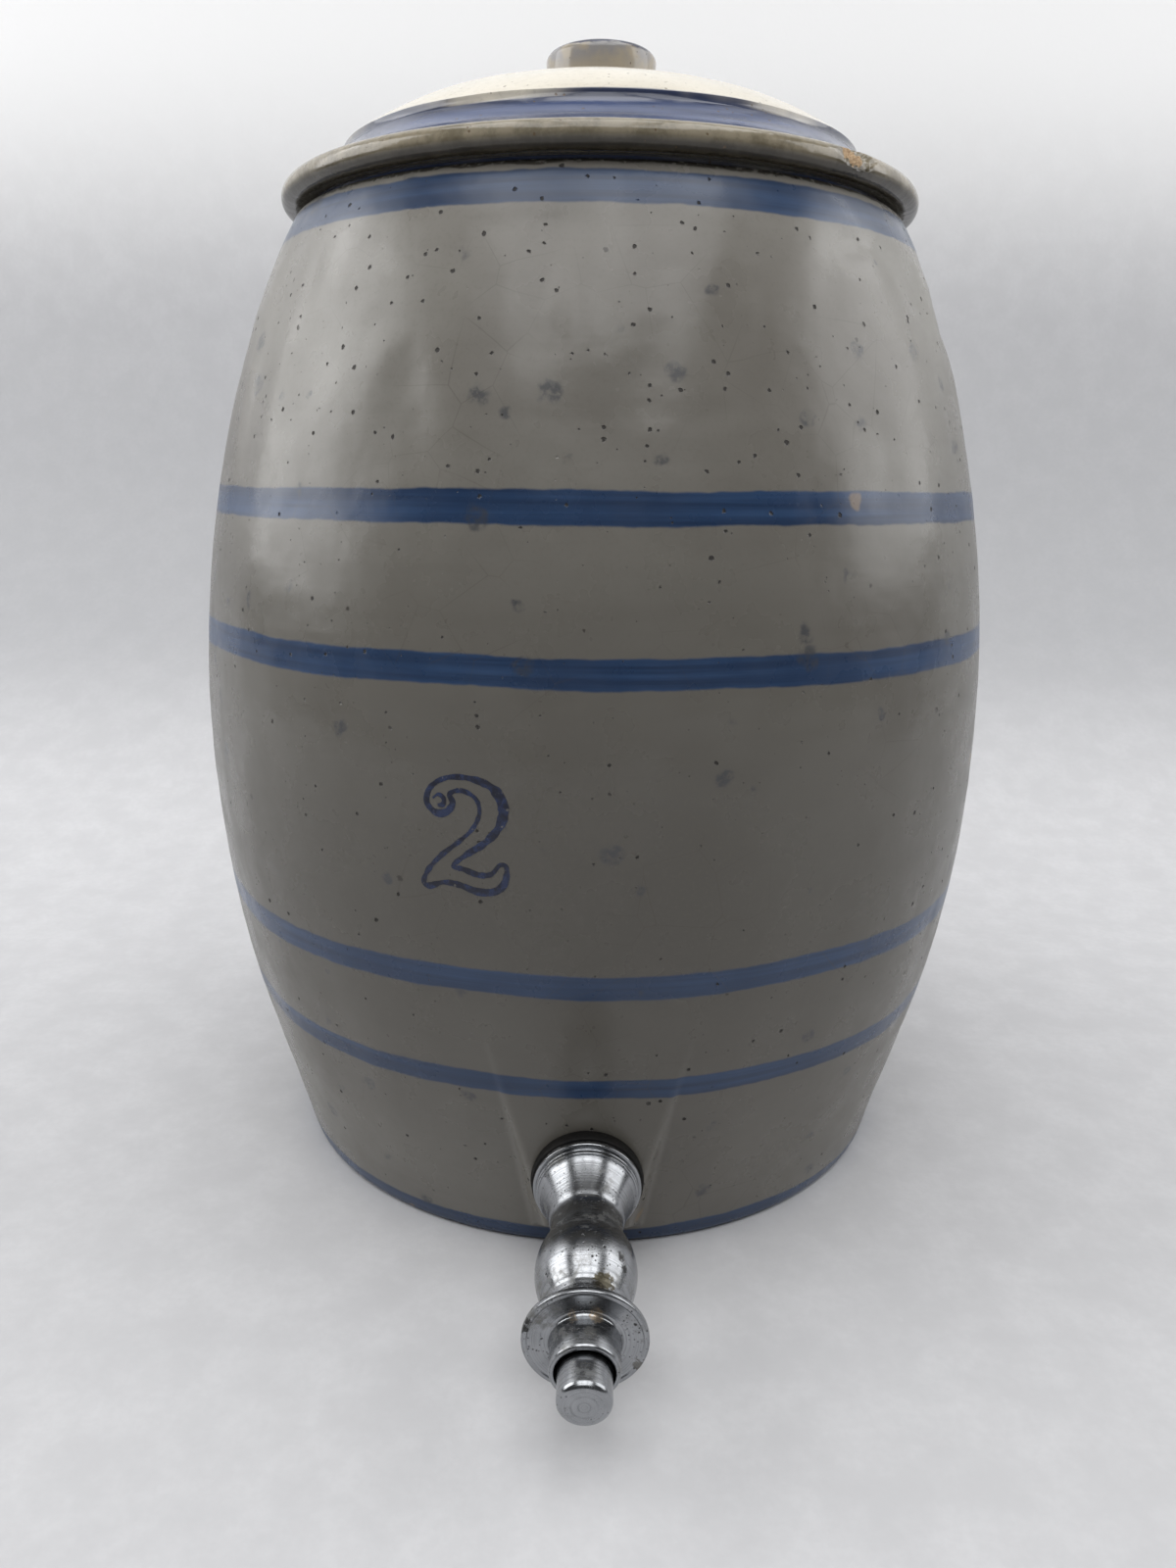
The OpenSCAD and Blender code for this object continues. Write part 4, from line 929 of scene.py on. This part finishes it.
def spout_profile():
    """The spout's section (radius, distance below the axis), as one closed loop round its bore."""
    points = [(3.2, 7.5), (4.1, 7.5), (4.15, 7.8), (4.15, 13), (5.9, 13)]
    neck = ((6.1, 13.1), (6.2, 13.4, 0.3), (6.2, 14.2, 0.5), (5.55, 14.6, 0.6), (4.5, 17.6, 1.5), (4.3, 18.2))
    lip = ((4.35, 18.4), (4.8, 18.7, 0.3), (4.8, 19.9, 0.4), (4.4, 20.5, 0.2), (3.2, 20.5, 0.2), (3.2, 18.5))
    return points + rounded(neck) + rounded(lip)


def boss_profile():
    """The boss under the bulb (radius, distance below the axis), with its fillets."""
    side = ((6.2, -5), (6.2, 1), (8.2, 9.2, 1.4), (6.2, 11.4, 1.2), (6.2, 13, 0.3), (0, 13))
    return [(0, -5)] + rounded(side)


def gasket_profile(inner, outer, low, high):
    """A flat ring of rubber whose edges bulge a little under the clamping."""
    edge = outer - GASKET_BULGE
    side = ((inner, low), (edge, low, 0.5), (outer, (low + high) / 2), (edge, high, 0.5), (inner, high))
    return rounded(side, 5)


class COOLER_OT_tap(bpy.types.Operator):
    """Turn the tap's body, bonnet, push button, spout and outer gasket"""

    bl_idname = "cooler.tap"
    bl_label = "Tap"

    def execute(self, context):
        look = settings("tap")
        # Where the plate is stained or worn through: across, up and from the pad; radius, tone and strength
        stains = (
            ((4.0, 8.0, 45.2), 2.6, look.tarnish, 0.9),
            ((2.4, 7.8, 46.6), 1.5, linear("#211C12"), 0.9),
            ((7.6, 8.2, 38.0), 1.1, linear("#161310"), 0.9),
            ((8.8, 7.0, 40.2), 0.9, linear("#161310"), 0.85),
            ((-13.3, 3.6, 53.9), 1.3, linear("#12100E"), 0.95),
            ((-12.6, 5.6, 54.2), 0.9, linear("#12100E"), 0.95),
            ((11.8, -6.2, 54.2), 1.5, linear("#4B4435"), 0.6),
            ((2.5, 8.0, 55.0), 1.5, look.brass, 0.35),
            ((-3.0, 8.0, 55.2), 1.2, look.brass, 0.3),
            ((1.0, 7.4, 59.0), 1.5, look.tarnish, 0.4),
        )
        stains = [(TAP @ (Vector(spot) * MM), *stain) for spot, *stain in stains]
        plate = plate_material("Worn chrome plate on brass", look.plate, look, 1.0, stains)
        bright = plate_material("Rubbed chrome plate", look.plate, look, 0.45)
        # Moulded rubber is dull and nearly black, without a clear reflection.
        rubber = plain_material("Black rubber", look.rubber, linear("#191715"), 0.9, 0.55, 0.0, 0.03)
        rubber.node_tree.nodes["Principled BSDF"].inputs["Specular IOR Level"].default_value = 0.2

        bm = spin(body_profile(), 160, True, TAP)
        lower = spin(boss_profile(), 96, False, DOWN)
        scratch = bpy.data.meshes.new("boss")
        lower.to_mesh(scratch)
        lower.free()
        bm.from_mesh(scratch)
        bpy.data.meshes.remove(scratch)
        finish_piece("turned_body", bm, plate, 28, "crock", ("tap_body",))
        bonnet = spin(bonnet_profile(), 160, True, TAP)
        finish_piece("bonnet_and_flange", bonnet, plate, 28, "crock", ("bonnet",))
        button = spin(button_profile(), 128, False, TAP)
        finish_piece("button_cap", button, bright, 28, "button", ("push_button",))
        nozzle = spin(spout_profile(), 96, True, DOWN)
        finish_piece("spout_nozzle", nozzle, plate, 28, "crock", ("spout",))
        ring = spin(gasket_profile(8.55, 14.7, 0, 3.5), 128, True, TAP)
        finish_piece("gasket_ring", ring, rubber, 30, "crock", ("outer_gasket",))
        return {"FINISHED"}


class COOLER_OT_fittings(bpy.types.Operator):
    """Give the inner fittings, the valve and the spring their brass, rubber, fibre, packing and steel"""

    bl_idname = "cooler.fittings"
    bl_label = "Inner fittings"

    def execute(self, context):
        look = settings("tap")
        # Turned brass keeps the lathe's lines and a yellow shine. Rubber, fibre and cotton stay dull, and the
        # cotton's threads run one way. Drawn wire is bright and even.
        brass = plate_material("Turned bare brass", look.brass, look, 0.6)
        washer = (look.rubber, linear("#2B2A28"), 0.9, 0.5, 0.0, 0.03)
        fibre = (linear("#6B2B1F"), linear("#8A4230"), 0.7, 0.6, 0.0, 0.03)
        cotton = (linear("#8A7E60"), linear("#B0A483"), 0.5, 0.6, 0.0, 0.12, (1, 6, 1))
        wire = (linear("#83878A"), linear("#A2A6A9"), 0.5, 0.22, 1.0, 0.01)
        turned = ("shank_washer", "shank_nut", "valve_seat", "packing_gland", "spring_washer")
        looks = {
            brass: (*turned, "valve_stem", "disc_plate", "disc_nut"),
            plain_material("Black rubber of the washers", *washer): ("inner_gasket", "seat_washer"),
            plain_material("Red vulcanised fibre", *fibre): ("bonnet_gasket",),
            plain_material("Waxed cotton packing", *cotton): ("stem_packing",),
            plain_material("Drawn spring steel", *wire): ("return_spring",),
        }
        for material, names in looks.items():
            for name in names:
                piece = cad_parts[name]
                piece.data.materials.clear()
                piece.data.materials.append(material)
        return {"FINISHED"}


# ---- Stage ----


# Sizes and places on the stage are in metres.
SWEEP_X, SWEEP_FRONT, SWEEP_BACK, SWEEP_ROUND, SWEEP_TOP = 1.3, -2.2, 0.52, 0.36, 1.7
PANEL_SIZE, PANEL_STEP, PANEL_Y, PANEL_Z = (0.42, 1.8), 0.48, -0.7, 1.4
FILL_SIZE, FILL_X, FILL_Y, FILL_Z, FILL_AIM = (0.9, 0.9), 1.15, 0.02, 0.7, (0, 0, 0.18)
# Powers of the right fill and the strip, as shares of the left fill's
RIGHT_SHARE, STRIP_SHARE = 0.72, 0.2
# The camera's place, and its angles down, round and over, as fitted to the photo
EYE, EYE_DOWN, EYE_YAW, EYE_ROLL = (0, -0.36974, 0.20502), math.radians(14.973), -0.00383, -0.01165


def panel(name, size, place, aim, power):
    """A soft rectangular lamp that looks at a point; sizes and places in metres."""
    lamp = bpy.data.lights.new(name, "AREA")
    lamp.shape, lamp.size, lamp.size_y, lamp.energy = "RECTANGLE", size[0], size[1], power
    obj = bpy.data.objects.new(name, lamp)
    obj.location = place
    obj.rotation_euler = (Vector(aim) - Vector(place)).to_track_quat("-Z", "Y").to_euler()
    bpy.context.scene.collection.objects.link(obj)
    return obj


class COOLER_OT_stage(bpy.types.Operator):
    """Set the pale floor and backdrop, the soft lamps and the camera"""

    bl_idname = "cooler.stage"
    bl_label = "Stage"

    def execute(self, context):
        look = settings("stage")
        scene = context.scene

        # Floor that curves up into the backdrop close behind the crock
        bm = bmesh.new()
        bend = arc((SWEEP_BACK - SWEEP_ROUND, SWEEP_ROUND), SWEEP_ROUND, -90, 0, 16)
        section = [(SWEEP_FRONT, 0)] + bend + [(SWEEP_BACK, SWEEP_TOP)]
        verts = [bm.verts.new((-SWEEP_X, y, z)) for y, z in section]
        edges = [bm.edges.new(pair) for pair in zip(verts, verts[1:])]
        swept = bmesh.ops.extrude_edge_only(bm, edges=edges)["geom"]
        far = [item for item in swept if isinstance(item, bmesh.types.BMVert)]
        bmesh.ops.translate(bm, vec=(2 * SWEEP_X, 0, 0), verts=far)
        bm.normal_update()
        lowest = min(bm.faces, key=lambda face: face.calc_center_median().z)
        if lowest.normal.z < 0:
            bmesh.ops.reverse_faces(bm, faces=bm.faces[:])
        # Matt paper, with a faint mottle and no reflections
        paper = plain_material("Pale paper", look.floor, linear("#CACACC"), 3.0, 0.75, 0.0, 0.03)
        tree = paper.node_tree
        shader = tree.nodes["Principled BSDF"]
        # Painted light and shade: the paper is greyer where it turns up and palest at the top, as the light
        # falls on it.
        height = node(tree, "SeparateXYZ", {0: node(tree, "TexCoord").outputs["Object"]}).outputs[2]
        tone = shader.inputs["Base Color"].links[0].from_socket
        tone = coat(tree, tone, linear("#9D9EA1"), between(tree, height, (10, 110), (200, 460)), 0.6)
        high = node(tree, "MapRange", {0: height, 1: 0.3, 2: 0.5}, **SOFT)
        feed(tree, shader, {"Base Color": coat(tree, tone, linear("#EEEEEE"), high)})
        # A camera behind the backdrop looks through it.
        camera_ray = node(tree, "LightPath").outputs["Is Camera Ray"]
        seen = overlap(tree, camera_ray, node(tree, "NewGeometry").outputs["Backfacing"])
        mix = node(tree, "MixShader", {0: seen, 1: shader, 2: node(tree, "BsdfTransparent")})
        feed(tree, tree.nodes["Material Output"], {"Surface": mix})
        finish_piece("backdrop", bm, paper)

        # Three long overhead panels side by side, as the plate reflects them, two fills and a strip
        for i in (-1, 0, 1):
            place, aim = (i * PANEL_STEP, PANEL_Y, PANEL_Z), (i * PANEL_STEP, PANEL_Y, 0)
            panel("Overhead panel %d" % (i + 2), PANEL_SIZE, place, aim, look.overhead)
        panel("Left fill", FILL_SIZE, (-FILL_X, FILL_Y, FILL_Z), FILL_AIM, look.fill)
        panel("Right fill", FILL_SIZE, (FILL_X, FILL_Y, FILL_Z), FILL_AIM, look.fill * RIGHT_SHARE)
        strip, strip_aim = (0, 0.24, 0.92), (0, 0.52, 0.45)
        panel("Backdrop strip", (2.6, 0.25), strip, strip_aim, look.fill * STRIP_SHARE)

        # The camera alone sees a white background; the object sees a dim room.
        world = scene.world or bpy.data.worlds.new("World")
        scene.world = world
        world.use_nodes = True
        tree = world.node_tree
        tree.nodes.clear()
        camera_ray = node(tree, "LightPath").outputs["Is Camera Ray"]
        dim = node(tree, "Background", {"Color": (0.80, 0.82, 0.86), "Strength": 0.08})
        white = node(tree, "Background", {"Color": (1, 1, 1), "Strength": 0.8})
        mix = node(tree, "MixShader", {0: camera_ray, 1: dim, 2: white})
        node(tree, "OutputWorld", {"Surface": mix})

        camera = bpy.data.cameras.new("Camera")
        camera.lens, camera.sensor_width = look.lens, 36
        eye = bpy.data.objects.new("Camera", camera)
        dip, rise = math.sin(EYE_DOWN), math.cos(EYE_DOWN)
        right = Vector((math.cos(EYE_YAW), -math.sin(EYE_YAW), 0))
        up = Vector((dip * math.sin(EYE_YAW), dip * math.cos(EYE_YAW), rise))
        ahead = Vector((rise * math.sin(EYE_YAW), rise * math.cos(EYE_YAW), -dip))
        columns = (
            math.cos(EYE_ROLL) * right - math.sin(EYE_ROLL) * up,
            math.sin(EYE_ROLL) * right + math.cos(EYE_ROLL) * up,
            -ahead,
        )
        eye.matrix_world = Matrix.Translation(EYE) @ Matrix(columns).transposed().to_4x4()
        scene.collection.objects.link(eye)
        scene.camera = eye
        scene.view_settings.view_transform = "Standard"
        return {"FINISHED"}


class COOLER_PT_panel(bpy.types.Panel):
    """Sidebar panel with the cooler's settings and its pieces' buttons"""

    bl_label = "Stoneware water cooler"
    bl_idname = "COOLER_PT_panel"
    bl_space_type = "VIEW_3D"
    bl_region_type = "UI"
    bl_category = "Cooler"

    def draw(self, context):
        for name, group in GROUPS.items():
            box = self.layout.box()
            box.label(text=name.capitalize())
            for key in group.__annotations__:
                box.prop(getattr(context.scene, "cooler_" + name), key)
        for step in STEPS:
            self.layout.operator(step.bl_idname)


GROUPS = {
    "crock": CoolerCrockSettings,
    "lid": CoolerLidSettings,
    "tap": CoolerTapSettings,
    "stage": CoolerStageSettings,
}
STEPS = (
    COOLER_OT_crock,
    COOLER_OT_numeral,
    COOLER_OT_lid,
    COOLER_OT_tap,
    COOLER_OT_fittings,
    COOLER_OT_stage,
)
CLASSES = (*GROUPS.values(), *STEPS, COOLER_PT_panel)


def register():
    for item in CLASSES:
        bpy.utils.register_class(item)
    for name, group in GROUPS.items():
        setattr(bpy.types.Scene, "cooler_" + name, bpy.props.PointerProperty(type=group))


def unregister():
    for name in GROUPS:
        delattr(bpy.types.Scene, "cooler_" + name)
    for item in reversed(CLASSES):
        bpy.utils.unregister_class(item)


def main():
    register()
    bpy.ops.cooler.crock()
    bpy.ops.cooler.numeral()
    bpy.ops.cooler.lid()
    bpy.ops.cooler.tap()
    bpy.ops.cooler.fittings()
    bpy.ops.cooler.stage()


if __name__ == "__main__":
    main()
